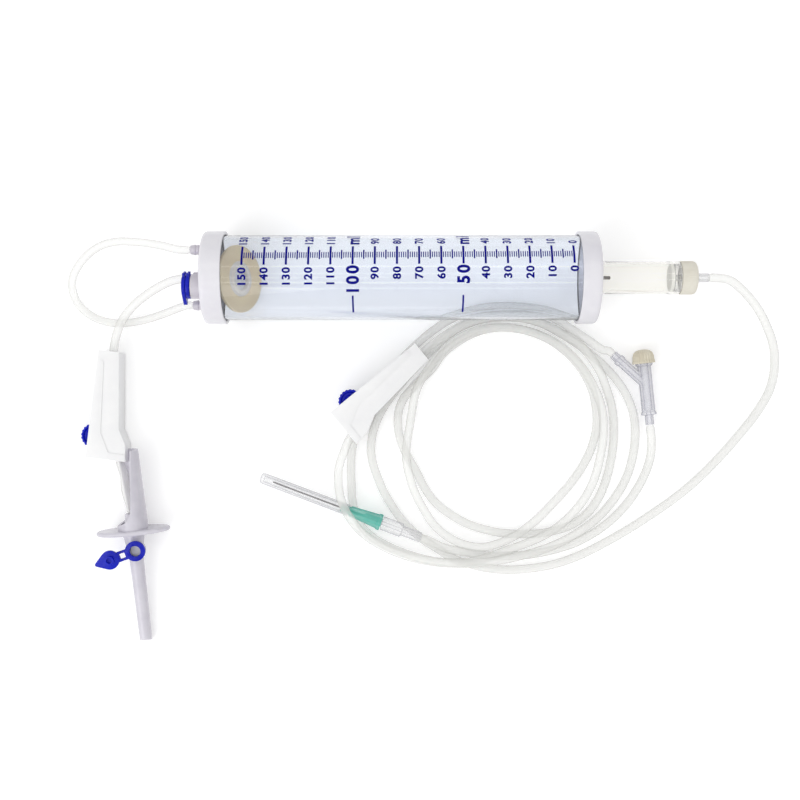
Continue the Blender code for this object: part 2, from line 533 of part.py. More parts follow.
def make_vent(prefix, size, frame, boss_top, hinge_turn, closed):
    """Filter, collar and hinged cap on a boss whose top face is at boss_top in the frame."""
    filter_low = boss_top - VENT_FILTER_THICK - PLUG_LENGTH - 0.2
    finish_object(f"{prefix}_vent_filter", turned([
        (size["hole"] + 0.1, filter_low), (size["hole"] + 0.1, filter_low + VENT_FILTER_THICK)],
        18), frame)
    turned_frame = add_empty(f"{prefix}_vent_frame", (0, 0, 0), (0, 0, hinge_turn), frame)
    low = boss_top + GAP
    top = low + size["plate"]
    collar = finish_object(f"{prefix}_vent_collar", turned([
        (size["hole"], low), (size["collar"], low), (size["collar"], top), (size["hole"], top)],
        28, ring=True), turned_frame)
    strap = strap_end(size["hinge"], size["hole"] + 0.6)
    combine(collar, [extruded(strap, low + STRAP_INSET, top - STRAP_INSET)], "UNION")

    line = top + HINGE_HALF_GAP
    pivot = add_empty(f"{prefix}_vent_hinge", (size["hinge"], 0, line),
                      (0, math.radians(180) if closed else 0, 0), turned_frame)
    centre = size["hinge"]
    r = size["collar"] - 0.3
    tip = centre + size["tab"]
    lean = math.degrees(math.acos(min(0.99, (r - 0.9) / (size["tab"] - 0.9))))
    outline = arc(centre, 0, r, lean, 360 - lean, 22) + arc(tip - 0.9, 0, 0.9, -lean, lean, 4)
    under = -HINGE_HALF_GAP
    cap = finish_object(f"{prefix}_vent_cap", extruded(outline, under - size["plate"], under), pivot)
    lugs = [(2 * size["hinge"] - x - centre, y) for x, y in strap]
    plug = size["hole"] - 0.4
    combine(cap, [
        extruded(lugs, under - size["plate"] + STRAP_INSET, under - STRAP_INSET),
        turned([(plug, under - 0.5), (plug, under + PLUG_LENGTH), (plug - 0.8, under + PLUG_LENGTH),
                (plug - 0.8, under - 0.5)], 20, ring=True, at=(centre, 0, 0)),
    ], "UNION")
    return pivot


# Roller clamps

def make_clamp(prefix, place):
    x, y, z, turn = place
    frame = add_empty(f"{prefix}_clamp_frame", (x, y, z), (0, 0, turn))
    mid = CLAMP_DEPTH / 2
    foot = -CLAMP_LENGTH
    profile = [(0, 0), (CLAMP_TOP_WIDTH, 0), CLAMP_WAIST, CLAMP_FLARE, (CLAMP_FOOT_WIDTH, foot), (0, foot)]
    body = finish_object(f"{prefix}_clamp_body",
                         extruded(profile, CLAMP_RECESS, CLAMP_DEPTH - CLAMP_RECESS), frame, False)
    rail = ROLLER_ACROSS + TRUNNION_R + GAP
    side = 0.3
    half = (rail - side) / 2
    raised = arc(side + half, -6.0, half, 180, 0, 8)
    raised += [(rail + 2.4, -37.5), (rail + 7.0, foot + 3.2), (CLAMP_FOOT_WIDTH - 0.7, foot + 3.2),
               (CLAMP_FOOT_WIDTH - 0.3, foot + side), (side, foot + side)]
    combine(body, [extruded(raised, 0, CLAMP_DEPTH)], "UNION")
    back = CLAMP_BACK
    channel = [(-2, -CLAMP_END), (CLAMP_TOP_WIDTH - back, -CLAMP_END),
               (CLAMP_WAIST[0] - back, CLAMP_WAIST[1]), (CLAMP_FLARE[0] - back, CLAMP_FLARE[1]),
               (CLAMP_FOOT_WIDTH - back - 0.2, foot + CLAMP_END), (-2, foot + CLAMP_END)]
    slot = TRUNNION_R + GAP
    track = arc(ROLLER_ACROSS, TRACK_TOP, slot, 0, 180, 6)
    track += arc(ROLLER_ACROSS, TRACK_FOOT, slot, 180, 360, 6)
    depth = CLAMP_DEPTH / 2 - CLAMP_SIDE
    cuts = [extruded(channel, CLAMP_SIDE, CLAMP_DEPTH - CLAMP_SIDE),
            extruded(track, CLAMP_SIDE - 0.9, CLAMP_DEPTH - CLAMP_SIDE + 0.9)]
    for near, far, wall in ((0, 1, -CLAMP_END / 2), (-2, -1, foot + CLAMP_END / 2)):
        (x0, y0), (x1, y1) = CLAMP_TUBE[near], CLAMP_TUBE[far]
        slope = (x1 - x0) / (y1 - y0)
        hole = turned([(CLAMP_HOLE_R, -4), (CLAMP_HOLE_R, 4)], 16, axis="Y")
        cuts.append(turn_bm(hole, (0, 0, -math.atan(slope)), (x0 + slope * (wall - y0), wall, mid)))
    combine(body, cuts, "DIFFERENCE")

    wheel = depth - GAP
    pin = depth + 0.9 - GAP
    roller_frame = add_empty(f"{prefix}_roller_frame", (ROLLER_ACROSS, ROLLER_ALONG, mid), parent=frame)
    edge = ROLLER_R - 0.6
    finish_object(f"{prefix}_clamp_roller", turned([
        (TRUNNION_R, -pin), (TRUNNION_R, -wheel), (edge, -wheel), (ROLLER_R, -wheel + 0.6),
        (ROLLER_R, wheel - 0.6), (edge, wheel), (TRUNNION_R, wheel), (TRUNNION_R, pin)],
        2 * ROLLER_TEETH, ripple=(ROLLER_R - 0.1, ROLLER_KNURL)), roller_frame)
    return frame


def clamp_run(frame, reverse=False):
    """The tubing's own line through a clamp, in the plan."""
    points = [plan_point(frame, x, y, CLAMP_DEPTH / 2) for x, y in CLAMP_TUBE]
    return points[::-1] if reverse else points


# Spike

def make_spike():
    frame = add_empty("spike_frame", SPIKE_AT, SPIKE_TURN)
    half = FLANGE_THICK / 2
    tip = -SPIKE_LENGTH
    body = finish_object("spike_body", turned([
        (SPIKE_TIP_R, tip - 2.0), (SPIKE_TIP_R, tip + 6.0), (SPIKE_R - 0.15, -24.0),
        (SPIKE_R + 0.1, -12.0), (SPIKE_NECK_R, -half), (SPIKE_NECK_R, half),
        (SOCKET_R + 0.6, half + 1.0), (SOCKET_R, SOCKET_LENGTH - 2.0),
        (SOCKET_R - 0.2, SOCKET_LENGTH)], 24, axis="Y"), frame)
    a, b = FLANGE_HALF
    oval = [(a * math.cos(t), b * math.sin(t)) for t in [2 * math.pi * i / 36 for i in range(36)]]
    rim = bmesh.new()
    rings = []
    for inset, height in ((0.7, -half), (0.0, -half + 0.6), (0.0, half - 0.6), (0.7, half)):
        rings.append([rim.verts.new((x * (1 - inset / a), height, z * (1 - inset / b))) for x, z in oval])
    for low, high in zip(rings, rings[1:]):
        for i in range(36):
            j = (i + 1) % 36
            rim.faces.new((low[i], low[j], high[j], high[i]))
    rim.faces.new(rings[0])
    rim.faces.new(rings[-1])
    guard = turned([
        (GUARD_R, 0), (GUARD_TIP_R, GUARD_LENGTH), (GUARD_TIP_R - GUARD_WALL, GUARD_LENGTH),
        (GUARD_R - GUARD_WALL, 0)], 32, ring=True, axis="Y")
    opening = extruded([
        (-12, half + 1.9), (-7.0, half + 2.0), (-1.9, 5.2), (0.4, 8.5), (1.0, 12.0), (2.2, 23.5),
        (3.6, 36.0), (4.0, GUARD_LENGTH + 4), (-12, GUARD_LENGTH + 4)], -16, 16)
    turn_bm(opening, (0, GUARD_LEAN, 0))
    bmesh_cut(guard, opening)
    boss_x, boss_y = SPIKE_VENT_AT
    boss = turned([
        (SPIKE_VENT["boss"] - 1.4, 0.5), (SPIKE_VENT["boss"], 3.6),
        (SPIKE_VENT["boss"], SPIKE_BOSS_TOP)], 24, at=(boss_x, boss_y, 0))
    combine(body, [rim, guard, boss], "UNION")
    end_cut = extruded([(-8, -12), (8, -12), (8, 0), (-8, 0)], -8, 8)
    turn_bm(end_cut, (-SPIKE_SLANT, 0, 0), (0, tip + 1.0, 0))
    bore_start = tip - 4.0
    combine(body, [
        turned([(LUMEN_R, bore_start), (LUMEN_R, SOCKET_LENGTH + 2)], 14, axis="Y", at=(0, 0, -0.9)),
        turned([(SPIKE_VENT["hole"] + 0.3, 2.6), (SPIKE_VENT["hole"] + 0.3, 8)], 20,
               at=(boss_x, boss_y, 0)),
        end_cut,
    ], "DIFFERENCE")
    vent = add_empty("spike_vent_seat", (boss_x, boss_y, 0), parent=frame)
    make_vent("spike", SPIKE_VENT, vent, SPIKE_BOSS_TOP, SPIKE_VENT_TURN, False)
    return frame


def bmesh_cut(target, tool):
    """Cut one bmesh with another through short-lived objects, so the result stays a bmesh."""
    pieces = []
    for number, bm in enumerate((target, tool)):
        bmesh.ops.recalc_face_normals(bm, faces=bm.faces)
        mesh = bpy.data.meshes.new(f"work_{number}")
        bm.to_mesh(mesh)
        piece = bpy.data.objects.new(f"work_{number}", mesh)
        bpy.context.collection.objects.link(piece)
        pieces.append(piece)
    change = pieces[0].modifiers.new("cut", "BOOLEAN")
    change.operation = "DIFFERENCE"
    change.solver = "EXACT"
    change.object = pieces[1]
    bpy.context.view_layer.update()
    result = pieces[0].evaluated_get(bpy.context.evaluated_depsgraph_get()).to_mesh()
    target.clear()
    target.from_mesh(result)
    for piece in pieces:
        bpy.data.objects.remove(piece, do_unlink=True)
    tool.free()


# Injection site

def make_site():
    frame = add_empty("site_frame", SITE_AT, (0, 0, SITE_TURN))
    stem_end = -SITE_DOWN - SITE_STEM
    head = SITE_UP
    body = finish_object("y_site_body", turned([
        (SITE_STEM_R, stem_end), (SITE_STEM_R, -SITE_DOWN - 0.2), (SITE_R + 0.4, -SITE_DOWN),
        (SITE_R + 0.4, -SITE_DOWN + 1.2), (SITE_R, -SITE_DOWN + 1.5), (SITE_R, head - 2.4),
        (SITE_R + 0.9, head - 1.6), (SITE_R + 0.9, head)], 24, axis="Y"), frame)
    arm = turned([
        (ARM_R, 0), (ARM_R, ARM_LENGTH - 5.2), (ARM_COLLAR_R, ARM_LENGTH - 4.9),
        (ARM_COLLAR_R, ARM_LENGTH - 3.1), (ARM_R - 0.3, ARM_LENGTH - 2.8), (ARM_R - 0.3, ARM_LENGTH)],
        18, axis="Y")
    turn_bm(arm, (0, 0, ARM_ANGLE))
    reach = ARM_LENGTH - 6.0
    web = extruded([(-1.0, 3.0), (-1.0, head - 2.6), (-SITE_R - 1.2, head - 2.6),
                    (-reach * math.sin(ARM_ANGLE) + 1.0, reach * math.cos(ARM_ANGLE) + 1.4),
                    (-reach * math.sin(ARM_ANGLE), reach * math.cos(ARM_ANGLE))], -0.6, 0.6)
    combine(body, [arm, web], "UNION")
    bore = turned([(SITE_BORE_R, -SITE_DOWN + 2), (SITE_BORE_R, head + 2)],
                  16, axis="Y")
    stem = turned([(LUMEN_R, stem_end - 2), (LUMEN_R, 0)], 14, axis="Y")
    lumen = turned([(LUMEN_R, 0.5), (LUMEN_R, ARM_LENGTH + 2)], 14, axis="Y")
    turn_bm(lumen, (0, 0, ARM_ANGLE))
    combine(body, [bore, stem, lumen], "DIFFERENCE")
    skirt = SITE_R + 0.9 + GAP
    seat = head + GAP
    top = head - 0.9 + SITE_CAP_LENGTH
    finish_object("y_site_cap", turned([
        (skirt, seat), (skirt, head - 0.9), (SITE_CAP_R, head - 0.9), (SITE_CAP_R, head + 0.1),
        (SITE_CAP_R - 0.25, head + 0.6), (SITE_CAP_R - 0.3, top - 3.2), (SITE_CAP_R - 0.9, top - 1.5),
        (SITE_CAP_R - 2.2, top - 0.4), (SITE_CAP_R - 4.0, top)], 24, axis="Y"), frame)
    return frame


# Needle end

def make_needle():
    frame = add_empty("needle_frame", NEEDLE_AT, (0, 0, NEEDLE_TURN))
    nose = -HUB_LENGTH
    bore = CANNULA_R + GAP
    cone = LUER_NECK_R - 0.3
    finish_object("needle_hub", turned([
        (bore, nose), (HUB_NOSE_R, nose), (HUB_NOSE_R, nose + 4.3), (HUB_NOSE_R + 0.6, nose + 4.9),
        (HUB_BASE_R, -2.0), (HUB_FLANGE_R, -1.7), (HUB_FLANGE_R, 0), (cone, 0),
        (cone - 0.2, -LUER_TIP - 1.0),
        (bore, -LUER_TIP - 1.8)], 24, ring=True, axis="X"), frame)
    cannula_end = -LUER_TIP - 2.2
    finish_object("needle_cannula", turned([
        (CANNULA_R, cannula_end), (CANNULA_R, cannula_end - CANNULA_LENGTH + 1.0),
        (CANNULA_BORE_R + 0.04, cannula_end - CANNULA_LENGTH),
        (CANNULA_BORE_R, cannula_end - CANNULA_LENGTH),
        (CANNULA_BORE_R, cannula_end)], 10, ring=True, axis="X"), frame)
    cover_bore = HUB_NOSE_R + GAP
    far = COVER_MOUTH - COVER_LENGTH
    finish_object("needle_cover", turned([
        (COVER_R - 0.9, far), (COVER_R - 0.35, far + 0.5), (COVER_R - 0.1, far + 1.5),
        (COVER_R, COVER_MOUTH), (cover_bore, COVER_MOUTH), (cover_bore - 0.1, COVER_MOUTH - 5.5),
        (cover_bore - 0.6, far + 1.6)], 20, axis="X"), frame)
    plug = cone - GAP
    finish_object("luer_connector", turned([
        (LUMEN_R - 0.3, -LUER_TIP), (plug - 0.25, -LUER_TIP), (plug, GAP), (LUER_R, GAP),
        (LUER_R, LUER_COLLAR),
        (LUER_NECK_R, LUER_COLLAR + 0.6), (LUER_NECK_R, LUER_COLLAR + LUER_NECK),
        (LUMEN_R - 0.3, LUER_COLLAR + LUER_NECK)], 22, ring=True, axis="X"), frame)
    return frame


def main():
    clear_scene()
    burette, face = make_burette()
    spigot_end = make_drip_chamber(burette, face)
    vx, vy = vent_place()
    seat = add_empty("burette_vent_seat", (vx, vy, 0), (math.radians(180), 0, 0), burette)
    make_vent("burette", CAP_VENT, seat, VENT_BOSS_LENGTH, math.radians(-90) - PORT_TURN, True)
    inlet_clamp = make_clamp("inlet", INLET_CLAMP)
    flow_clamp = make_clamp("flow", FLOW_CLAMP)
    spike = make_spike()
    site = make_site()
    needle = make_needle()

    out = (0, 0, -1)
    first, last = (socket_points(burette, (*port_place(side), -PORT_LENGTH), out) for side in (1, -1))
    lay_tube("hanger_loop", [*first, *HANGER_ROUTE, *last[::-1]], LOOP_R)
    port = socket_points(burette, (0, 0, -INLET_LENGTH), out)
    socket = socket_points(spike, (0, SOCKET_LENGTH, 0), (0, 1, 0))
    lay_tube("inlet_tube", [*port, *INLET_ROUTE, *clamp_run(inlet_clamp), *SPIKE_ROUTE, *socket[::-1]])

    spigot = socket_points(burette, (0, 0, spigot_end), (0, 0, 1))
    through = clamp_run(flow_clamp)
    lay_tube("outlet_tube", [*spigot, *OUTLET_ROUTE, *through[:3:-1]])
    (x0, y0), (x1, y1) = CLAMP_TUBE[3:5]
    share = GAP / math.hypot(x1 - x0, y1 - y0)
    joint = plan_point(flow_clamp, x1 + (x0 - x1) * share, y1 + (y0 - y1) * share, CLAMP_DEPTH / 2)
    aside = (-math.sin(ARM_ANGLE), math.cos(ARM_ANGLE), 0)
    arm = socket_points(site, [ARM_LENGTH * c for c in aside], aside)
    lay_tube("middle_tube", [joint, *through[3::-1], *MIDDLE_ROUTE, *arm[::-1]])
    stem = socket_points(site, (0, -SITE_DOWN - SITE_STEM, 0), (0, -1, 0))
    luer = socket_points(needle, (LUER_COLLAR + LUER_NECK, 0, 0), (1, 0, 0))
    lay_tube("patient_tube", [*stem, *PATIENT_ROUTE, *luer[::-1]])


main()
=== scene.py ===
# %% [markdown]
# # An infusion set with a burette
#
# This notebook dresses a working model of an infusion set: a clear measuring chamber with a drip
# chamber behind it, a spike, two roller clamps, about two metres of tubing and a covered needle.
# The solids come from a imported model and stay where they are. We make nearly all of them again as
# finer surfaces and give each its finish.

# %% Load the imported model
import math
import bmesh
import bpy
import numpy as np
from mathutils import Euler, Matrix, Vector


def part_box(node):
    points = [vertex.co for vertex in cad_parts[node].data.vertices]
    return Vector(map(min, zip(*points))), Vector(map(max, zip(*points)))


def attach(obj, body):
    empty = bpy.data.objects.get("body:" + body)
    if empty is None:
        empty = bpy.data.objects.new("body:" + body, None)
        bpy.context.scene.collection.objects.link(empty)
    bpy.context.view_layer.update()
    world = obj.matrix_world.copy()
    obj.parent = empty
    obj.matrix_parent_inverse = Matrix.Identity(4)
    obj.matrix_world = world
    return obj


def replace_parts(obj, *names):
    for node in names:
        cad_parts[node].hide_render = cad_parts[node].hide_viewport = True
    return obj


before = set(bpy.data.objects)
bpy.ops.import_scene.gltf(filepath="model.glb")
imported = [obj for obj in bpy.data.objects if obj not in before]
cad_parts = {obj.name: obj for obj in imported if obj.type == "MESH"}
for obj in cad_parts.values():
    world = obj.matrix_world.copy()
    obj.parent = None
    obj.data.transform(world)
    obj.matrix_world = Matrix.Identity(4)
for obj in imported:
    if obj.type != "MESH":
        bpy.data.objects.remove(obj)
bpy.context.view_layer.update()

MM = 0.001


def add_object(name, data):
    """A new object, linked into the scene."""
    made = bpy.data.objects.new(name, data)
    bpy.context.scene.collection.objects.link(made)
    return made


print("nodes", len(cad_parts))

# %% [markdown]
# ## The view
#
# The set was photographed from straight above while it lay on a white table. So our camera hangs
# over the middle of the plan and looks down. Its height and lens give the photograph's perspective:
# pieces that stand higher look a little larger and lean away from the middle.

# %% Camera
PHOTO = 800                        # the photograph is this many pixels square
CAMERA_HEIGHT = 0.526
NEAREST = 0.01                     # metres from the camera at which pieces begin to show
FOCAL_PIXELS = 1122
SENSOR = 36.0
PLAN_CENTRE = np.array([-3.84, -18.39])   # where the model's origin lies in the camera's plan, mm


def in_model(points):
    """Points given in the camera's plan, in millimetres, become metres in the model's frame."""
    points = np.asarray(points, float)
    return (points - np.append(PLAN_CENTRE, 0.0)) * MM


def add_camera():
    """A camera over the middle of the plan, which looks straight down."""
    data = bpy.data.cameras.new("camera")
    data.sensor_width = SENSOR
    data.lens = SENSOR * FOCAL_PIXELS / PHOTO
    data.clip_start = NEAREST
    camera = add_object("camera", data)
    camera.location = (*in_model([0, 0, 0])[:2], CAMERA_HEIGHT)
    bpy.context.scene.camera = camera


add_camera()
print("camera at", tuple(round(c, 4) for c in bpy.context.scene.camera.location))

# %% [markdown]
# ## Table and light
#
# The table is plain white. It has to look white without more light on the set than a written colour
# needs, so its own brightness is raised a little for the rays that the camera, a mirror or clear
# plastic sends, and a shadow still darkens it. The light comes from the lower left, very softly.
# Two long strips overhead draw the thin bright lines along the chamber, and a third lights the
# spike.

# %% Shader helpers


def give(node, **values):
    """Set a node and return it.

    A key names an input, with _ for each space, or else one of the node's own settings. An input
    takes a number, a colour of three parts, or the output that feeds it.
    """
    for key, value in values.items():
        label = key.replace("_", " ")
        if label not in node.inputs:
            setattr(node, key, value)
        elif isinstance(value, bpy.types.NodeSocket):
            node.id_data.links.new(value, node.inputs[label])
        else:
            node.inputs[label].default_value = (*value, 1) if isinstance(value, tuple) else value
    return node


def add_node(nodes, kind, **values):
    """A new shader node of a kind, set as in give."""
    return give(nodes.new(f"ShaderNode{kind}"), **values)


def maths(nodes, operation, *values):
    """The output of a Math node whose inputs are numbers or other outputs."""
    node = add_node(nodes, "Math", operation=operation)
    for socket, value in zip(node.inputs, values):
        if isinstance(value, bpy.types.NodeSocket):
            node.id_data.links.new(value, socket)
        else:
            socket.default_value = value
    return node.outputs[0]


def new_material(name):
    """A material with its default nodes, those nodes, and its Principled shader."""
    material = bpy.data.materials.new(name)
    material.use_nodes = True
    nodes = material.node_tree.nodes
    return material, nodes, nodes["Principled BSDF"]


def plain_rays(nodes):
    """1 for rays from the camera, off a mirror or through clear plastic, and 0 for all others."""
    rays = add_node(nodes, "LightPath").outputs
    seen = maths(nodes, "MAXIMUM", rays["Is Camera Ray"], rays["Is Glossy Ray"])
    return maths(nodes, "MAXIMUM", seen, rays["Is Transmission Ray"])


def towards_edge(nodes, power):
    """0 where a surface faces us and 1 where we look along it, raised to a power."""
    weight = add_node(nodes, "LayerWeight", Blend=0.5)
    return maths(nodes, "POWER", weight.outputs["Facing"], power)


print("shader helpers", [f.__name__ for f in (give, add_node, maths, plain_rays, towards_edge)])

# %% Table, world and lamps
WHITE = (1.0, 1.0, 1.0)
WORLD_LIGHT = 0.72
TABLE_WHITE = 0.9
TABLE_GLOW = 0.27
TABLE_HALF, TABLE_DROP = 6.0, 0.0001      # metres
KEY_PLACE, KEY_SIZE, KEY_POWER = (-0.9, -0.9, 1.1), (1.1, 1.1), 7.5
STRIP_LEANS = {"strip_far": 25.0, "strip_near": -19.0}    # degrees from upright, over the chamber
STRIP_REACH, STRIP_SIZE, STRIP_POWER = 1.3, (2.2, 0.10), 1.2
SPIKE_STRIP_SIZE, SPIKE_STRIP_POWER = (0.10, 1.4), 0.7


def add_table():
    """The white table, which is not part of the set."""
    mesh = bpy.data.meshes.new("table")
    corners = [(-1, -1), (1, -1), (1, 1), (-1, 1)]
    mesh.from_pydata([(x * TABLE_HALF, y * TABLE_HALF, -TABLE_DROP) for x, y in corners],
                     [], [(0, 1, 2, 3)])
    material, nodes, shader = new_material("table_white")
    glow = maths(nodes, "MULTIPLY", plain_rays(nodes), TABLE_GLOW)
    give(shader, Base_Color=(TABLE_WHITE,) * 3, Roughness=1.0, Specular_IOR_Level=0.0,
         Emission_Color=WHITE, Emission_Strength=glow)
    mesh.materials.append(material)
    add_object("table", mesh)


def add_world():
    """A white world, at full brightness only for the rays that plain_rays names."""
    world = bpy.data.worlds.new("studio")
    bpy.context.scene.world = world
    world.use_nodes = True
    nodes = world.node_tree.nodes
    strength = add_node(nodes, "MapRange", To_Min=WORLD_LIGHT, To_Max=1.0, Value=plain_rays(nodes))
    give(nodes["Background"], Color=WHITE, Strength=strength.outputs["Result"])


def add_lamp(name, place, target, size, power):
    """A rectangular area lamp at a place, in metres, that faces a target."""
    data = bpy.data.lights.new(name, "AREA")
    data.shape = "RECTANGLE"
    data.size, data.size_y = size
    data.energy = power
    lamp = add_object(name, data)
    lamp.location = place
    lamp.rotation_euler = (Vector(target) - Vector(place)).to_track_quat("-Z", "Y").to_euler()


add_table()
add_world()
add_lamp("key", KEY_PLACE, (0, 0, 0), KEY_SIZE, KEY_POWER)
BURETTE_LOW, BURETTE_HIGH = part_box("burette_tube")
AXIS_Y, AXIS_Z = (BURETTE_LOW.y + BURETTE_HIGH.y) / 2, (BURETTE_LOW.z + BURETTE_HIGH.z) / 2
for lamp_name, lean in STRIP_LEANS.items():
    away = math.radians(lean)
    spot = (0.0, AXIS_Y + STRIP_REACH * math.sin(away), AXIS_Z + STRIP_REACH * math.cos(away))
    add_lamp(lamp_name, spot, (0.0, AXIS_Y, AXIS_Z), STRIP_SIZE, STRIP_POWER)
SPIKE_LOW, SPIKE_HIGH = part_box("spike_body")
SPIKE_X = (SPIKE_LOW.x + SPIKE_HIGH.x) / 2
add_lamp("strip_spike", (SPIKE_X - 0.55, -0.05, 1.2), (SPIKE_X, -0.05, 0.01),
         SPIKE_STRIP_SIZE, SPIKE_STRIP_POWER)
bpy.context.scene.view_settings.view_transform = "Standard"

# %% [markdown]
# ## Finishes that several materials share
#
# Moulded plastic is never one flat colour: the melt flows, the mould's polish varies, and handling
# leaves faint marks. One node group gives all of that as a colour, a roughness and a normal. The
# soft clear plastics further on take their colour and roughness from the same group.

# %% The moulded plastic group


def make_moulded_group():
    """Colour varies with a slow noise, roughness with a fine one, and the normal with its grain."""
    number, colour, vector = "NodeSocketFloat", "NodeSocketColor", "NodeSocketVector"
    group = bpy.data.node_groups.new("moulded_surface", "ShaderNodeTree")
    for label, kind, value in (
            ("Colour", colour, (0.8, 0.8, 0.8, 1)), ("Shade", colour, (0.7, 0.7, 0.7, 1)),
            ("Roughness", number, 0.4), ("Spread", number, 0.1), ("Grain", number, 0.02)):
        socket = group.interface.new_socket(name=label, in_out="INPUT", socket_type=kind)
        socket.default_value = value
    for label, kind in (("Colour", colour), ("Roughness", number), ("Normal", vector)):
        group.interface.new_socket(name=label, in_out="OUTPUT", socket_type=kind)
    nodes = group.nodes
    given = nodes.new("NodeGroupInput").outputs
    place = add_node(nodes, "TexCoord").outputs["Object"]
    flow = add_node(nodes, "TexNoise", Scale=90.0, Detail=3.0, Roughness=0.6, Vector=place)
    fine = add_node(nodes, "TexNoise", Scale=1500.0, Detail=4.0, Roughness=0.55, Vector=place)
    share = add_node(nodes, "MapRange", From_Min=0.35, From_Max=0.75, Value=flow.outputs["Fac"])
    mix = add_node(nodes, "Mix", data_type="RGBA", Factor=share.outputs["Result"],
                   A=given["Colour"], B=given["Shade"])
    centred = maths(nodes, "SUBTRACT", fine.outputs["Fac"], 0.5)
    bump = add_node(nodes, "Bump", Distance=0.0002, Strength=given["Grain"],
                    Height=fine.outputs["Fac"])
    give(nodes.new("NodeGroupOutput"), Colour=mix.outputs["Result"],
         Roughness=maths(nodes, "MULTIPLY_ADD", centred, given["Spread"], given["Roughness"]),
         Normal=bump.outputs["Normal"])
    return group


def moulded(name, colour, shade, roughness, grain=0.05, **sockets):
    """A Principled material fed by the moulded plastic group; sockets set plain values on it."""
    material, nodes, shader = new_material(name)
    surface = add_node(nodes, "Group", node_tree=MOULDED, Colour=colour, Shade=shade,
                       Roughness=roughness, Spread=0.1, Grain=grain).outputs
    give(shader, Base_Color=surface["Colour"], Roughness=surface["Roughness"],
         Normal=surface["Normal"], **sockets)
    return material


MOULDED = make_moulded_group()
CAP_PLASTIC = moulded("cap_plastic", (0.82, 0.81, 0.85), (0.76, 0.745, 0.80), 0.22)
PORT_PLASTIC = moulded("port_plastic", (0.62, 0.59, 0.65), (0.52, 0.49, 0.55), 0.3)
SPIKE_PLASTIC = moulded("spike_plastic", (0.68, 0.66, 0.72), (0.58, 0.56, 0.63), 0.16)
CLAMP_PLASTIC = moulded("clamp_plastic", (0.93, 0.93, 0.93), (0.89, 0.89, 0.90), 0.38)
BLUE_PLASTIC = moulded("blue_plastic", (0.003, 0.012, 0.50), (0.002, 0.005, 0.30), 0.22,
                       Specular_IOR_Level=0.2)
BEIGE_PLASTIC = moulded("beige_plastic", (0.80, 0.77, 0.68), (0.68, 0.64, 0.54), 0.3)
FLOAT_RUBBER = moulded("float_rubber", (1.0, 0.85, 0.56), (0.90, 0.74, 0.50), 0.5, grain=0.1)
FLOAT_RING = moulded("float_ring", (0.88, 0.84, 0.78), (0.82, 0.78, 0.72), 0.4)
LATEX = moulded("latex", (0.74, 0.69, 0.56), (0.62, 0.56, 0.43), 0.4, grain=0.1)
FILTER_PAPER = moulded("filter_paper", (0.85, 0.85, 0.83), (0.70, 0.70, 0.68), 0.9, grain=0.5)
STEEL = moulded("steel", (0.16, 0.15, 0.15), (0.11, 0.10, 0.10), 0.3, Metallic=1.0)
INK = moulded("ink", (0.001, 0.003, 0.24), (0.001, 0.002, 0.19), 0.6, Specular_IOR_Level=0.1)
# A near-black finish for the painted shade in the gap at each cap's skirt.
SKIRT_SHADE_PAINT = moulded("painted_skirt_shade", (0.10, 0.09, 0.11), (0.05, 0.05, 0.06), 0.6)
print("materials that use the group", MOULDED.users)

# %% [markdown]
# ## Clear plastic
#
# Clear plastic is a glass shader with a slight tint. Its walls look darker where we look along
# them, so the tint deepens towards the edges, which Layer Weight gives. A lamp's light would draw a
# hard dark shadow behind such a shader, so shadow rays pass through it with only a little loss.

# %% Clear finishes
GLASS_EDGE_POWER = 2.5


def clear(name, tint, edge, roughness, ior, shadow):
    """Glass whose tint turns to the edge colour at grazing angles, with see-through shadows."""
    material, nodes, shader = new_material(name)
    mix = add_node(nodes, "Mix", data_type="RGBA", Factor=towards_edge(nodes, GLASS_EDGE_POWER),
                   A=tint, B=edge)
    give(shader, Transmission_Weight=1.0, IOR=ior, Roughness=roughness,
         Base_Color=mix.outputs["Result"])
    through = add_node(nodes, "BsdfTransparent", Color=shadow)
    shadow_ray = add_node(nodes, "LightPath").outputs["Is Shadow Ray"]
    choose = add_node(nodes, "MixShader", Fac=shadow_ray)
    material.node_tree.links.new(shader.outputs[0], choose.inputs[1])
    material.node_tree.links.new(through.outputs[0], choose.inputs[2])
    give(nodes["Material Output"], Surface=choose.outputs[0])
    return material


CHAMBER_CLEAR = clear("chamber_clear", (0.90, 0.918, 0.95), (0.66, 0.70, 0.78), 0.03, 1.45,
                      (0.95, 0.96, 0.98))
DRIP_CLEAR = clear("drip_clear", (0.97, 0.965, 0.945), (0.72, 0.71, 0.67), 0.06, 1.42,
                   (0.92, 0.92, 0.90))
print("glass finishes", CHAMBER_CLEAR.name, DRIP_CLEAR.name)

# %% [markdown]
# Soft tubing is different. Its plasticised wall scatters light, so it looks like milk glass with a
# darker line along each edge, where we look through the most plastic. Its opacity and its grey both
# grow towards the edges, and a faint cloudiness runs along it.

# %% Tubing finish
SOFT_IOR = 1.4
CLOUD = 0.96                       # share of the core's colour that is left in its cloudier parts


def soft_clear(name, core, edge, thin, thick, roughness, power):
    """A scattering clear plastic: colour and opacity go from core values to edge values."""
    material, nodes, shader = new_material(name)
    share = towards_edge(nodes, power)
    surface = add_node(nodes, "Group", node_tree=MOULDED, Colour=core,
                       Shade=tuple(CLOUD * c for c in core), Roughness=roughness,
                       Spread=0.08).outputs
    mix = add_node(nodes, "Mix", data_type="RGBA", Factor=share, A=surface["Colour"], B=edge)
    opacity = add_node(nodes, "MapRange", To_Min=thin, To_Max=thick, Value=share)
    give(shader, Base_Color=mix.outputs["Result"], Roughness=surface["Roughness"],
         Alpha=opacity.outputs["Result"], IOR=SOFT_IOR)
    return material


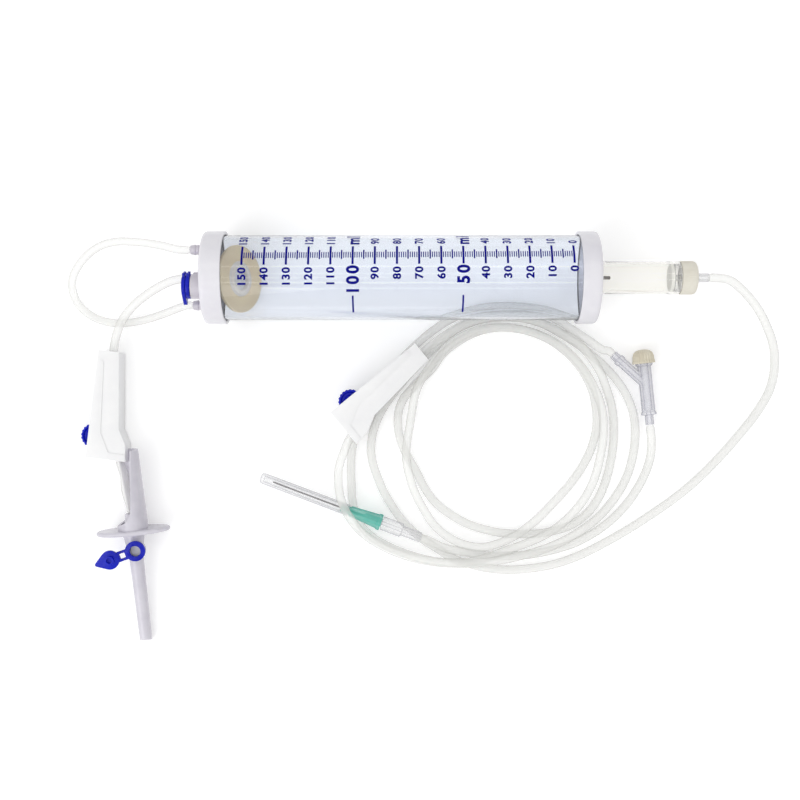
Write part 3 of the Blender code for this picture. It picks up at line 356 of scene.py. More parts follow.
TUBING_CLEAR = soft_clear("tubing_clear", (0.95, 0.95, 0.92), (0.50, 0.50, 0.47),
                          0.28, 0.66, 0.24, 1.7)
SITE_CLEAR = soft_clear("site_clear", (0.78, 0.78, 0.86), (0.12, 0.12, 0.20), 0.17, 0.85, 0.1, 1.2)
COVER_CLEAR = soft_clear("cover_clear", (0.88, 0.88, 0.90), (0.35, 0.35, 0.40),
                         0.13, 0.75, 0.08, 1.2)
GREEN_CLEAR = soft_clear("green_clear", (0.16, 0.70, 0.58), (0.01, 0.36, 0.30),
                         0.5, 0.95, 0.15, 1.1)
print("materials", len(bpy.data.materials))

# %% [markdown]
# ## Surfaces from numbers
#
# Nearly every clear piece is a grid of points worked out at once with numpy: rings round an axis,
# or rings along a path. One helper turns such a grid into a mesh, and another rounds the corners of
# a profile, because a moulded edge is never sharp.

# %% Grids into meshes
SHARP = math.radians(35)           # edges that turn more than this stay sharp in the shading
CORNER_STEPS = 4                   # points in the place of each corner of a profile
LAY = {"Z": (0, 0, 0), "X": (0, math.pi / 2, 0), "Y": (-math.pi / 2, 0, 0)}


def grid_faces(rows, columns, first=0, close_rows=False):
    """Quads between neighbouring points of a grid whose columns close into a ring."""
    count = rows if close_rows else rows - 1
    i = np.arange(count)[:, None]
    j = np.arange(columns)[None, :]
    here, there = i * columns, ((i + 1) % rows) * columns
    after = (j + 1) % columns
    quads = np.stack([here + j, here + after, there + after, there + j], axis=-1)
    return quads.reshape(-1, 4) + first


def placed(local, to_model):
    """Points (..., 3) in a frame's millimetres, as one list (n, 3) in the model's metres."""
    return local.reshape(-1, 3) @ to_model[:3, :3].T + to_model[:3, 3]


def add_mesh(name, points, faces, material, body="set"):
    """Put points (n, 3) in metres and faces into a mesh that rides on a body."""
    mesh = bpy.data.meshes.new(name)
    mesh.from_pydata(np.asarray(points, float).tolist(), [], [list(map(int, f)) for f in faces])
    bm = bmesh.new()
    bm.from_mesh(mesh)
    bmesh.ops.remove_doubles(bm, verts=bm.verts, dist=1e-7)
    bmesh.ops.recalc_face_normals(bm, faces=bm.faces)
    bm.to_mesh(mesh)
    bm.free()
    mesh.shade_smooth()
    mesh.set_sharp_from_angle(angle=SHARP)
    mesh.materials.append(material)
    piece = add_object(name, mesh)
    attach(piece, body)
    return piece


def rounded(profile, radius):
    """Replace each corner of a closed line by a quadratic curve, at most a radius from it."""
    p = np.asarray(profile, float)
    before, after = np.roll(p, 1, axis=0), np.roll(p, -1, axis=0)
    back, ahead = (np.linalg.norm(p - q, axis=1) for q in (before, after))
    reach = np.minimum(np.minimum(back, ahead) * 0.45, radius)[:, None]
    start = p + (before - p) / np.maximum(back, 1e-9)[:, None] * reach
    end = p + (after - p) / np.maximum(ahead, 1e-9)[:, None] * reach
    t = np.linspace(0, 1, CORNER_STEPS)[None, :, None]
    bend = (1 - t) ** 2 * start[:, None] + 2 * t * (1 - t) * p[:, None] + t ** 2 * end[:, None]
    return bend.reshape(-1, p.shape[1])


def turned_points(profile, sides, to_model, ridge=None):
    """Rings of a profile (radius, height) round the local Z axis, put into the model.

    A ridge (least, depth, count) makes r = R - depth (0.5 - 0.5 cos(count a)) where R >= least.
    """
    angle = 2 * np.pi * np.arange(sides) / sides
    r, h = profile[:, :1], profile[:, 1:]
    if ridge:
        least, depth, count = ridge
        r = r - np.where(r >= least, depth * (0.5 - 0.5 * np.cos(count * angle)), 0.0)
    return placed(np.stack([r * np.cos(angle), r * np.sin(angle), h + 0 * angle], axis=-1),
                  to_model)


def turned(name, profiles, to_model, material, sides=96, body="set", replaces=(), radius=0.25,
           ridge=None):
    """One object from one or more turned rings, each a closed profile in millimetres."""
    points, faces, first = [], [], 0
    for profile in profiles:
        curve = rounded(profile, radius)
        points.append(turned_points(curve, sides, to_model, ridge))
        faces.append(grid_faces(len(curve), sides, first, close_rows=True))
        first += len(curve) * sides
    piece = add_mesh(name, np.vstack(points), np.vstack(faces), material, body)
    if replaces:
        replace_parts(piece, *replaces)


def spun(turn, axis):
    """A rotation by three angles whose own Z then lies along the named axis."""
    return np.array(Euler(turn).to_matrix() @ Euler(LAY[axis]).to_matrix())


def frame_matrix(place, turn=(0.0, 0.0, 0.0), axis="Z"):
    """A frame in the camera's plan: millimetres in, metres out."""
    matrix = np.eye(4)
    matrix[:3, :3] = spun(turn, axis) * MM
    matrix[:3, 3] = in_model(place)
    return matrix


def inside(parent, place=(0.0, 0.0, 0.0), turn=(0.0, 0.0, 0.0), axis="Z"):
    """A frame given in millimetres within another frame."""
    matrix = parent.copy()
    matrix[:3, :3] = parent[:3, :3] @ spun(turn, axis)
    matrix[:3, 3] = parent[:3, :3] @ np.asarray(place, float) + parent[:3, 3]
    return matrix


print("rounded square has", len(rounded([(0, 0), (1, 0), (1, 1), (0, 1)], 0.2)), "points")

# %% [markdown]
# ## The tubing
#
# Four lengths of soft tubing and one short hanging loop are the free lines of the set. Each follows
# the route that it has in the solid model, given here in plan millimetres. A centripetal
# Catmull-Rom curve makes each route smooth, because real tubing has no corners. Rings follow it,
# with a flat disc at each end.

# %% Routes
HANGER_ROUTE = [
    (-93.9, 67.11, 24.27), (-96.3, 67.11, 24.27),
    (-100.3, 67.5, 23.8), (-106.3, 69.1, 22.8), (-113.2, 70.5, 21.0), (-120.2, 71.4, 19.0),
    (-127.7, 71.9, 16.8), (-135.4, 70.7, 14.5), (-142.0, 67.5, 12.0), (-147.5, 62.6, 9.5),
    (-151.3, 56.6, 7.0), (-152.0, 50.6, 4.8), (-149.9, 44.6, 3.0), (-144.8, 39.7, 2.0),
    (-138.7, 36.9, 1.9), (-131.5, 35.8, 1.9), (-123.9, 36.3, 3.2), (-116.2, 37.6, 6.6),
    (-108.0, 39.6, 11.4), (-101.1, 41.7, 15.2),
    (-96.3, 42.89, 17.33), (-93.9, 42.89, 17.33)]
INLET_START = [
    (-93.2, 55.0, 20.8), (-95.6, 55.0, 20.8),
    (-103.4, 53.6, 19.4), (-109.9, 51.1, 16.4), (-116.6, 47.6, 13.0), (-122.8, 43.2, 10.0),
    (-127.6, 37.9, 7.9), (-130.8, 31.5, 6.8)]
INLET_END = [
    (-127.6, -34.5, 7.2), (-126.6, -42.0, 8.2), (-123.983, -49.5, 9.402),
    (-123.766, -51.878, 9.159)]
OUTLET_START = [
    (139.1, 55.0, 20.8), (141.5, 55.0, 20.8),
    (148.5, 54.2, 19.6), (156.4, 49.4, 15.5), (164.6, 41.9, 10.0), (170.3, 33.9, 5.4),
    (174.1, 25.2, 2.7), (174.9, 15.9, 2.0), (172.7, 5.1, 2.0), (166.7, -5.6, 2.0),
    (158.3, -16.3, 2.0), (146.6, -29.4, 2.0), (133.6, -41.6, 2.0), (119.1, -52.3, 2.0),
    (101.3, -63.5, 2.0), (84.1, -72.4, 2.0), (71.4, -76.8, 2.0), (58.4, -78.9, 2.0),
    (47.6, -79.2, 2.0), (39.2, -78.2, 2.0), (32.7, -76.6, 2.0), (27.1, -75.0, 2.0),
    (21.9, -72.4, 2.0), (17.3, -69.3, 2.0), (11.7, -65.8, 2.0), (5.6, -60.9, 2.0),
    (0.5, -55.6, 2.0), (-3.7, -49.5, 2.0), (-7.5, -43.0, 2.0), (-10.7, -35.5, 2.0),
    (-12.8, -29.0, 2.0), (-13.5, -21.9, 2.0), (-12.1, -13.1, 2.0), (-8.4, -4.7, 2.0),
    (-3.3, 2.8, 2.0), (2.8, 10.3, 2.0), (9.3, 17.5, 2.0), (15.4, 24.0, 2.0),
    (21.9, 29.9, 2.0), (29.4, 34.6, 2.0), (37.4, 37.4, 2.0), (46.7, 38.6, 2.0),
    (56.0, 38.3, 2.0), (65.4, 36.0, 2.0), (74.7, 31.3, 2.0), (84.1, 25.2, 2.0),
    (92.0, 18.9, 2.0), (98.5, 12.6, 2.0), (103.7, 5.8, 2.0), (107.4, -1.4, 2.0),
    (109.5, -9.3, 2.0), (109.7, -18.7, 2.0), (108.3, -28.0, 2.0), (105.4, -36.9, 2.0),
    (99.9, -46.2, 2.0), (93.4, -53.9, 2.2), (84.7, -60.5, 3.7), (75.1, -65.6, 5.8),
    (65.2, -69.4, 7.2), (55.3, -71.9, 8.9), (46.0, -73.7, 10.4), (36.7, -74.8, 10.8),
    (27.6, -75.1, 10.8), (18.4, -74.7, 10.5), (9.2, -73.5, 8.9), (0.9, -71.4, 7.3),
    (-6.9, -68.3, 6.5), (-13.9, -64.1, 7.4), (-19.8, -58.4, 10.6), (-24.3, -51.8, 12.7),
    (-27.0, -45.3, 13.2), (-28.2, -38.4, 12.7), (-28.0, -31.0, 11.9), (-25.6, -23.6, 11.2)]
MIDDLE_END = [
    (14.5, 25.3, 10.8), (19.9, 29.1, 10.3), (25.8, 32.9, 9.3), (32.3, 35.9, 8.0),
    (39.3, 37.7, 6.8), (46.3, 38.3, 6.5), (55.6, 38.0, 6.5), (64.8, 35.9, 6.5),
    (74.1, 31.5, 6.5), (83.4, 25.5, 6.5), (88.9, 19.0, 6.5), (93.0, 12.5, 5.7),
    (96.4, 4.7, 3.5), (98.7, -2.3, 2.2), (99.7, -9.3, 2.0), (99.7, -18.7, 2.0),
    (98.5, -28.0, 2.0), (96.3, -36.9, 2.0), (92.9, -45.3, 2.0), (88.0, -52.3, 2.0),
    (80.8, -57.9, 2.0), (72.8, -60.9, 2.0), (64.4, -62.3, 2.0), (56.0, -62.6, 2.0),
    (47.6, -62.1, 2.0), (39.7, -60.5, 2.0), (32.2, -58.1, 2.0), (24.3, -53.9, 2.0),
    (16.3, -47.6, 2.0), (11.2, -40.6, 2.0), (7.7, -33.6, 2.0), (3.7, -26.6, 2.0),
    (0.7, -20.1, 2.0), (-0.9, -13.1, 2.0), (-0.7, -5.6, 2.0), (1.4, 0.2, 2.0),
    (5.4, 5.1, 2.0), (10.0, 9.8, 2.0), (15.2, 14.9, 2.0), (19.6, 21.2, 2.0),
    (26.2, 26.6, 2.0), (33.6, 30.8, 2.0), (41.1, 33.2, 2.0), (49.5, 33.9, 2.0),
    (57.9, 32.7, 2.0), (65.8, 30.1, 2.0), (73.3, 25.9, 2.0), (80.3, 19.8, 2.0),
    (85.9, 12.6, 2.0), (89.7, 4.7, 2.0), (91.5, -3.7, 2.0), (91.8, -12.1, 2.0),
    (89.7, -21.5, 2.0), (85.5, -30.4, 2.0), (79.3, -39.2, 2.6), (71.1, -47.9, 4.4),
    (63.0, -55.6, 6.3), (54.6, -62.0, 6.6), (46.3, -66.2, 6.5), (38.0, -68.1, 6.5),
    (29.6, -66.9, 6.4), (22.3, -63.5, 5.9), (15.8, -58.0, 5.2), (10.9, -50.6, 5.1),
    (7.0, -43.1, 5.6), (4.4, -35.2, 6.4), (2.9, -27.3, 6.5), (3.2, -19.9, 6.4),
    (4.4, -12.5, 4.8), (5.6, -5.1, 4.0), (6.7, 1.4, 5.8), (8.8, 7.4, 6.4),
    (12.5, 13.4, 6.5), (17.1, 19.7, 6.5), (22.7, 25.2, 6.5), (29.2, 29.6, 6.5),
    (37.0, 32.6, 6.5), (46.3, 33.6, 6.5), (55.6, 32.8, 6.5), (63.9, 30.4, 6.5),
    (71.8, 26.6, 6.5), (79.0, 21.1, 6.5), (85.0, 14.1, 6.5), (89.6, 6.5, 6.5),
    (92.9, -1.4, 6.2), (94.3, -9.7, 6.0), (94.1, -18.5, 6.1), (92.6, -26.9, 6.3),
    (90.3, -35.7, 6.3), (86.4, -44.0, 6.5), (80.8, -51.6, 6.5), (73.6, -58.3, 6.5),
    (65.3, -63.4, 6.5), (56.5, -67.1, 6.5), (47.7, -70.2, 6.5), (40.7, -72.8, 6.5),
    (34.3, -74.6, 6.5), (27.3, -75.2, 6.5), (19.9, -75.2, 6.3), (11.2, -73.9, 4.7),
    (2.8, -71.7, 2.6), (-5.1, -68.6, 2.0), (-12.1, -64.6, 2.0), (-17.7, -59.3, 2.0),
    (-21.0, -53.2, 2.0), (-22.3, -46.2, 2.0), (-22.7, -38.8, 2.0), (-22.9, -31.3, 2.0),
    (-22.4, -23.3, 2.0), (-20.3, -14.5, 2.0), (-16.6, -5.6, 2.0), (-11.4, 3.3, 2.0),
    (-5.1, 11.9, 2.0), (1.9, 20.1, 2.0), (8.4, 26.6, 2.0), (14.9, 32.0, 2.0),
    (21.9, 36.7, 2.0), (29.4, 40.2, 2.0), (37.8, 42.5, 2.0), (46.7, 43.3, 2.0),
    (56.0, 42.8, 2.0), (65.4, 41.1, 2.0), (73.3, 37.5, 2.5), (80.5, 32.6, 3.7),
    (88.2, 27.3, 4.9), (94.2, 23.2, 5.5)]
PATIENT_ROUTE = [
    (115.95, -11.71, 5.6), (116.19, -14.09, 5.6),
    (116.9, -18.6, 4.5), (116.9, -25.6, 2.8), (115.6, -31.3, 2.0), (112.8, -37.8, 2.0),
    (107.4, -46.5, 2.0), (100.2, -54.6, 2.0), (92.0, -61.1, 2.0), (81.7, -66.7, 2.0),
    (71.0, -70.1, 2.0), (60.7, -72.1, 2.0), (51.4, -72.8, 2.0), (43.9, -72.8, 2.0),
    (38.3, -72.4, 2.0), (32.6, -71.3, 3.0), (26.5, -70.0, 5.0), (19.9, -68.2, 6.6),
    (12.17, -64.55, 7.2), (9.93, -63.70, 7.2)]
CLAMP_TUBE = np.array([(5.4, 0.5), (6.4, -8.0), (7.5, -17.0), (8.8, -27.0), (10.0, -34.0),
                       (11.6, -39.5), (13.3, -44.5), (14.3, -48.0), (14.9, -51.0)])
CLAMP_MIDDLE = 6.5                 # the tubing runs this high above the clamp's lower face
CLAMP_JOINT = 4                    # the point of CLAMP_TUBE where two lengths of tubing meet
INLET_CLAMP = ((-138.0, 23.0, 0.0), math.radians(-7))
FLOW_CLAMP = ((6.84, 25.7, 4.4), math.radians(-50.8))
JOINT_GAP = 0.3
SITE_AT, SITE_TURN = (114.05, 7.3, 5.6), math.radians(5.7)
ARM_ANGLE, ARM_LENGTH, ARM_LEAD = math.radians(42.2), 20.4, 2.4


def through_clamp(clamp):
    """The tubing's line inside a roller clamp, in plan millimetres."""
    (x, y, z), turn = clamp
    spin = np.array([[math.cos(turn), -math.sin(turn)], [math.sin(turn), math.cos(turn)]])
    plan = CLAMP_TUBE @ spin.T + (x, y)
    return np.column_stack([plan, np.full(len(plan), z + CLAMP_MIDDLE)])


def arm_end():
    """The last two points of the middle tube, at the mouth of the injection site's side arm."""
    lean = ARM_ANGLE + SITE_TURN
    along = np.array([-math.sin(lean), math.cos(lean), 0.0])
    mouth = np.array(SITE_AT) + along * (ARM_LENGTH + JOINT_GAP)
    return [mouth + along * ARM_LEAD, mouth]


INLET_RUN, FLOW_RUN = through_clamp(INLET_CLAMP), through_clamp(FLOW_CLAMP)
MEET = FLOW_RUN[CLAMP_JOINT]
STEP_BACK = FLOW_RUN[CLAMP_JOINT - 1] - MEET
STEP_BACK = STEP_BACK / np.linalg.norm(STEP_BACK)
ROUTES = {
    "hanger_loop": HANGER_ROUTE,
    "inlet_tube": [*INLET_START, *INLET_RUN, *INLET_END],
    "outlet_tube": [*OUTLET_START, *FLOW_RUN[:CLAMP_JOINT - 1:-1]],
    "middle_tube": [MEET + STEP_BACK * JOINT_GAP, *FLOW_RUN[CLAMP_JOINT - 1::-1], *MIDDLE_END,
                    *arm_end()],
    "patient_tube": PATIENT_ROUTE}
print("route points", {name: len(route) for name, route in ROUTES.items()})

# %% Smooth paths and tubes
SPAN_POINTS = 24                   # points worked out between two points of a route
CORD_STEP, CORD_SIDES, CORD_END = 1.2, 40, 0.35    # ring distance, sides, rounding of an end
CORD_RADII = {"inlet_tube": 1.95, "outlet_tube": 1.95, "middle_tube": 1.95, "patient_tube": 1.95,
              "hanger_loop": 1.8}


def smooth_path(points, step):
    """Points every step millimetres along a centripetal Catmull-Rom curve.

    With knots t[i+1] = t[i] + |P[i+1] - P[i]|^0.5, a span P1 to P2 is
        A1 = mix(P0, P1; t0, t1)   A2 = mix(P1, P2; t1, t2)   A3 = mix(P2, P3; t2, t3)
        B1 = mix(A1, A2; t0, t2)   B2 = mix(A2, A3; t1, t3)   C = mix(B1, B2; t1, t2)
    where mix(a, b; s, e) = ((e - t) a + (t - s) b) / (e - s).
    """
    p = np.asarray(points, float)
    p = np.vstack([2 * p[0] - p[1], p, 2 * p[-1] - p[-2]])
    knots = np.concatenate([[0.0], np.cumsum(np.sqrt(np.linalg.norm(np.diff(p, axis=0), axis=1)))])
    p0, p1, p2, p3 = (p[i:len(p) - 3 + i, None, :] for i in range(4))
    t0, t1, t2, t3 = (knots[i:len(p) - 3 + i, None, None] for i in range(4))
    t = t1 + (t2 - t1) * np.linspace(0, 1, SPAN_POINTS, endpoint=False)[None, :, None]

    def mix(a, b, s, e):
        return ((e - t) * a + (t - s) * b) / (e - s)

    a1, a2, a3 = mix(p0, p1, t0, t1), mix(p1, p2, t1, t2), mix(p2, p3, t2, t3)
    curve = mix(mix(a1, a2, t0, t2), mix(a2, a3, t1, t3), t1, t2).reshape(-1, 3)
    curve = np.vstack([curve, p[-2]])
    run = np.concatenate([[0.0], np.cumsum(np.linalg.norm(np.diff(curve, axis=0), axis=1))])
    marks = np.linspace(0, run[-1], max(8, int(run[-1] / step)))
    return np.column_stack([np.interp(marks, run, curve[:, k]) for k in range(3)])


def tube_points(path, radii, sides):
    """Rings round a path: P + r (side cos a + up sin a), with the side kept level."""
    ahead = np.gradient(path, axis=0)
    ahead /= np.linalg.norm(ahead, axis=1)[:, None]
    side = np.cross(ahead, (0, 0, 1))
    side /= np.linalg.norm(side, axis=1)[:, None]
    up = np.cross(side, ahead)
    angle = 2 * np.pi * np.arange(sides) / sides
    ring = np.cos(angle)[None, :, None] * side[:, None] + np.sin(angle)[None, :, None] * up[:, None]
    return path[:, None] + np.asarray(radii, float).reshape(-1, 1, 1) * ring


def lay_cord(name, radius):
    """A tube along a route with rounded ends.

    Its bore shows only as a bright core, which the finish gives, so the tube is one closed skin.
    At its first and last ring the radius is less by the end rounding, and a flat disc closes it.
    """
    path = in_model(smooth_path(ROUTES[name], CORD_STEP))
    radii = np.full(len(path), radius * MM)
    radii[[0, -1]] -= CORD_END * MM
    points = tube_points(path, radii, CORD_SIDES).reshape(-1, 3)
    discs = [list(range(CORD_SIDES)), list(range(len(points) - CORD_SIDES, len(points)))]
    faces = [*grid_faces(len(path), CORD_SIDES).tolist(), *discs]
    piece = add_mesh(f"{name}_soft", points, faces, TUBING_CLEAR)
    length = float(np.linalg.norm(np.diff(path, axis=0), axis=1).sum())
    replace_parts(piece, name)
    return length


LENGTHS = {name: lay_cord(name, radius) for name, radius in CORD_RADII.items()}
print("lengths in metres", {name: round(length, 3) for name, length in LENGTHS.items()})

# %% [markdown]
# ## The burette
#
# The chamber lies along +X with its axis at the height that its two caps give it. Everything on
# that axis is turned from a profile of (radius, distance along the axis) in millimetres, and each
# corner of a profile is rounded before it is turned.

# %% Burette frame
CAP_R = 20.8
TUBE_R = 19.0
BORE_R = TUBE_R - 1.15
CAP_END = 2.3
TOP_CAP_LENGTH, BOTTOM_CAP_LENGTH = 8.6, 7.7
CHAMBER_START, CHAMBER_END = 2.5, 171.3
CAP_FACE = CHAMBER_END + 0.2 + CAP_END
BURETTE_AT = (-86.6, 55.0, CAP_R)
BURETTE = frame_matrix(BURETTE_AT, axis="X")
AXIS = BURETTE[:3, 3]
BOTTOM = frame_matrix((BURETTE_AT[0] + CAP_FACE, *BURETTE_AT[1:]), axis="X")
BOTTOM[:3, 1:3] *= -1              # the bottom cap faces the other way
PORT_TURN, PORT_OFFSET = math.radians(16), 12.6
VENT_TURN, VENT_OFFSET = math.radians(29), 10.0
# How far the painted shade line reaches into each skirt, mm.
SHADE_LINE_DEPTH = 0.6


def cap_profile(length):
    """Section of a cap with its pressed rim, from the outer face at 0 to the end of the skirt."""
    inner = TUBE_R + JOINT_GAP
    return [(0.6, 0.0), (CAP_R - 3.6, 0.0), (CAP_R - 3.2, -1.0), (CAP_R - 1.5, -1.0),
            (CAP_R - 0.45, -0.55), (CAP_R, 0.55), (CAP_R, length), (inner, length),
            (inner, CAP_END), (0.6, CAP_END)]


print("burette axis at", tuple(round(c, 4) for c in AXIS))

# %% Chamber wall and caps
turned("chamber_wall", [[(TUBE_R, CHAMBER_START), (TUBE_R, CHAMBER_END), (BORE_R, CHAMBER_END),
                         (BORE_R, CHAMBER_START)]],
       BURETTE, CHAMBER_CLEAR, sides=160, replaces=["burette_tube"], radius=0.15)

turned("top_cap", [cap_profile(TOP_CAP_LENGTH)], BURETTE, CAP_PLASTIC, sides=144,
       replaces=["burette_top_cap"], radius=0.35)
for number, side in enumerate((1, -1)):
    reach = side * PORT_OFFSET
    port = inside(BURETTE, (-reach * math.sin(PORT_TURN), reach * math.cos(PORT_TURN), 0.0))
    turned(f"hanger_port_{number}", [[
        (0.9, 0.6), (2.5, 0.6), (2.5, -0.8), (2.0, -1.0), (2.0, -1.6), (2.4, -1.8), (2.0, -3.0),
        (2.4, -3.2), (2.0, -4.4), (2.4, -4.6), (2.0, -7.0), (0.9, -7.0)]],
        port, PORT_PLASTIC, sides=48, radius=0.2)
turned("inlet_port", [[(1.2, 0.6), (3.1, 0.6), (3.1, -2.2), (2.7, -2.6), (2.5, -6.3), (1.2, -6.3)]],
       BURETTE, PORT_PLASTIC, sides=64)
VENT = inside(BURETTE, (-VENT_OFFSET * math.cos(VENT_TURN),
                        -VENT_OFFSET * math.sin(VENT_TURN), 0.0))
turned("vent_boss", [[(3.6, 0.6), (6.2, 0.6), (6.2, -0.7), (5.4, -1.0), (5.4, -5.6), (3.6, -5.6)]],
       VENT, PORT_PLASTIC, sides=64)

turned("bottom_cap", [cap_profile(BOTTOM_CAP_LENGTH)], BOTTOM, CAP_PLASTIC, sides=144,
       replaces=["burette_bottom_cap"], radius=0.35)
turned("drip_boss", [[(1.1, 0.6), (6.2, 0.6), (6.2, -3.0), (1.1, -3.0)]], BOTTOM, CAP_PLASTIC,
       sides=64)
# A thin dark ring in each skirt's mouth is painted shade. It stands for the shadow in the gap
# between the skirt and the chamber wall.
for number, (matrix, length) in enumerate(((BURETTE, TOP_CAP_LENGTH), (BOTTOM, BOTTOM_CAP_LENGTH))):
    low, high, near, far = TUBE_R + 0.03, TUBE_R + 0.29, length - SHADE_LINE_DEPTH, length - 0.02
    turned(f"skirt_shade_line_{number}", [[(low, near), (high, near), (high, far), (low, far)]],
           matrix, SKIRT_SHADE_PAINT, sides=144, radius=0.05)
print("caps made")

# %% [markdown]
# ## The drip chamber
#
# The soft, slightly warm chamber has a dark steel dropper at its head, and a beige cup with a
# finely ridged rim at its foot. The ridges come from a cosine on the radius.

# %% Drip chamber
DRIP_R, DRIP_INNER, DRIP_WAIST = 7.5, 6.5, 7.25
DRIP_START = CAP_FACE + JOINT_GAP
DRIP_END = DRIP_START + 38.0
DROPPER_START = CAP_FACE - 0.5
DROPPER_END = DROPPER_START + 8.0
SHOULDER = DRIP_END + JOINT_GAP
PLUG_TIP, CUP_BASE, PLUG_R = SHOULDER - 3.0, SHOULDER + 7.2, DRIP_INNER - JOINT_GAP
BORE, SPIGOT_R = 1.2, 1.95

turned("drip_wall", [[(DRIP_INNER, DRIP_START), (DRIP_R, DRIP_START), (DRIP_R, DRIP_START + 1.5),
                      (DRIP_WAIST, DRIP_START + 4.5), (DRIP_WAIST, DRIP_END - 5.5),
                      (DRIP_R, DRIP_END - 4.0), (DRIP_R, DRIP_END), (DRIP_INNER, DRIP_END)]],
       BURETTE, DRIP_CLEAR, replaces=["drip_chamber"], radius=0.3)
turned("dropper", [[(0.8, DROPPER_START), (0.8, DROPPER_END), (0.45, DROPPER_END),
                    (0.45, DROPPER_START)]],
       BURETTE, STEEL, sides=40, replaces=["drip_dropper"], radius=0.1)
turned("drip_cup", [[(BORE, SHOULDER), (DRIP_R, SHOULDER), (DRIP_R, CUP_BASE - 1.4),
                     (DRIP_R - 0.4, CUP_BASE - 0.5), (DRIP_R - 1.2, CUP_BASE), (BORE, CUP_BASE)]],
       BURETTE, BEIGE_PLASTIC, sides=320, replaces=["drip_end_cap"],
       ridge=(DRIP_R - 0.2, 0.14, 64))
turned("drip_plug", [[(BORE, PLUG_TIP), (PLUG_R, PLUG_TIP), (PLUG_R, SHOULDER - 0.02),
                      (BORE, SHOULDER - 0.02)],
                     [(BORE, CUP_BASE - 0.5), (3.15, CUP_BASE - 0.5), (3.15, CUP_BASE),
                      (SPIGOT_R, CUP_BASE + 1.2), (SPIGOT_R, CUP_BASE + 5.9),
                      (BORE, CUP_BASE + 5.9)]],
       BURETTE, COVER_CLEAR, radius=0.2)
turned("drip_filter", [[(0.2, PLUG_TIP - 1.7), (PLUG_R, PLUG_TIP - 1.7), (PLUG_R, PLUG_TIP - 0.3),
                        (0.2, PLUG_TIP - 0.3)]],
       BURETTE, FILTER_PAPER, replaces=["fluid_filter"], radius=0.2)
print("drip chamber made")

# %% [markdown]
# ## The float
#
# A thin tan disc with a paler ring round its hole leans on the bottom of the chamber. It slides
# along the chamber as that fills and empties, so it rides on its own body.

# %% Float
FLOAT_AT, FLOAT_DROP, FLOAT_LEAN = 15.4, 4.4, math.radians(-34)
FLOAT = frame_matrix((BURETTE_AT[0] + FLOAT_AT, BURETTE_AT[1], CAP_R - FLOAT_DROP), axis="X")
FLOAT = inside(FLOAT, turn=(0, FLOAT_LEAN, 0))
turned("float", [[(15.3, -0.8), (15.3, 0.8), (8.0, 0.8), (8.0, -0.8)]],
       FLOAT, FLOAT_RUBBER, sides=128, body="float", replaces=["float_disc"], radius=0.35)
turned("float_ring", [[(8.02, -0.75), (8.02, 0.75), (6.6, 0.8), (6.4, 1.76), (5.2, 1.76),
                       (5.2, -0.8)]],
       FLOAT, FLOAT_RING, sides=128, body="float", radius=0.3)
print("float made")

# %% [markdown]
# ## The printed scale
#
# The scale is printed in navy ink on the outside of the chamber, from 150 at the top cap to 0 at
# the bottom one. A mark at distance s and angle a lies at
#
#     x = start + s    y = axis + r sin a    z = axis + r cos a
#
# with a measured from the top of the chamber, as it lies, towards the far side. The digits are flat
# meshes that are cut into narrow strips first, so that they bend smoothly with the wall.

# %% Wrapping on the chamber
PRINT_R = TUBE_R + 0.03
PRINT_SKEW = 2.9                   # degrees that the print climbs from one end to the other
SCALE_START, SCALE_LENGTH, SCALE_MOST = 17.8, 144.6, 150.0
TICK_ROW = 3                       # degrees between the rows of quads in a tick
DIGIT_STRIP = 0.5                  # width of the strips that digits are cut into, mm
BOLD = 0.038                       # how much bolder a digit is made, as a share of its size


def wrapped(points):
    """Points (s, a in degrees) in millimetres along the chamber, put on its outside."""
    s = points[:, 0]
    a = np.radians(points[:, 1] + PRINT_SKEW * (s - SCALE_START) / SCALE_LENGTH)
    return np.column_stack([AXIS[0] + s * MM, AXIS[1] + PRINT_R * MM * np.sin(a),
                            AXIS[2] + PRINT_R * MM * np.cos(a)])


def scale_at(value):
    """Distance of a value's mark along the chamber, in millimetres."""
    return SCALE_START + (SCALE_MOST - value) * SCALE_LENGTH / SCALE_MOST


def ticks(values, high, low, width):
    """Bars of a width in millimetres, from one angle to another in degrees."""
    centre = scale_at(np.asarray(values, float))
    rows = max(2, int(abs(high - low) / TICK_ROW) + 1)
    a = np.linspace(high, low, rows)
    s = centre[:, None, None] + np.array([-width / 2, width / 2])[None, None, :]
    points = np.stack([s + 0 * a[None, :, None], a[None, :, None] + 0 * s], axis=-1).reshape(-1, 2)
    bar = np.arange(len(centre))[:, None] * rows * 2
    row = bar + 2 * np.arange(rows - 1)[None, :]
    faces = np.stack([row, row + 2, row + 3, row + 1], axis=-1).reshape(-1, 4)
    return points, faces


def flat_text(words, size, stretch, spacing):
    """A line of digits as a flat mesh cut into narrow strips, in millimetres."""
    curve = bpy.data.curves.new("words", "FONT")
    curve.body = words
    curve.size = size
    curve.offset = size * BOLD
    curve.space_character = spacing
    curve.resolution_u = 6
    holder = bpy.data.objects.new("words", curve)
    mesh = bpy.data.meshes.new_from_object(holder)
    bm = bmesh.new()
    bm.from_mesh(mesh)
    bmesh.ops.remove_doubles(bm, verts=bm.verts, dist=1e-5)
    across = np.array([v.co.x for v in bm.verts])
    for cut in np.arange(across.min() + DIGIT_STRIP, across.max(), DIGIT_STRIP):
        bmesh.ops.bisect_plane(bm, geom=[*bm.verts, *bm.edges, *bm.faces],
                               plane_co=(cut, 0, 0), plane_no=(1, 0, 0))
    bm.verts.index_update()
    points = np.array([v.co[:2] for v in bm.verts])
    faces = [[v.index for v in f.verts] for f in bm.faces]
    bm.free()
    bpy.data.objects.remove(holder)
    bpy.data.meshes.remove(mesh)
    bpy.data.curves.remove(curve)
    return (points - (points[:, 0].min(), 0)) * (stretch, 1.0), faces


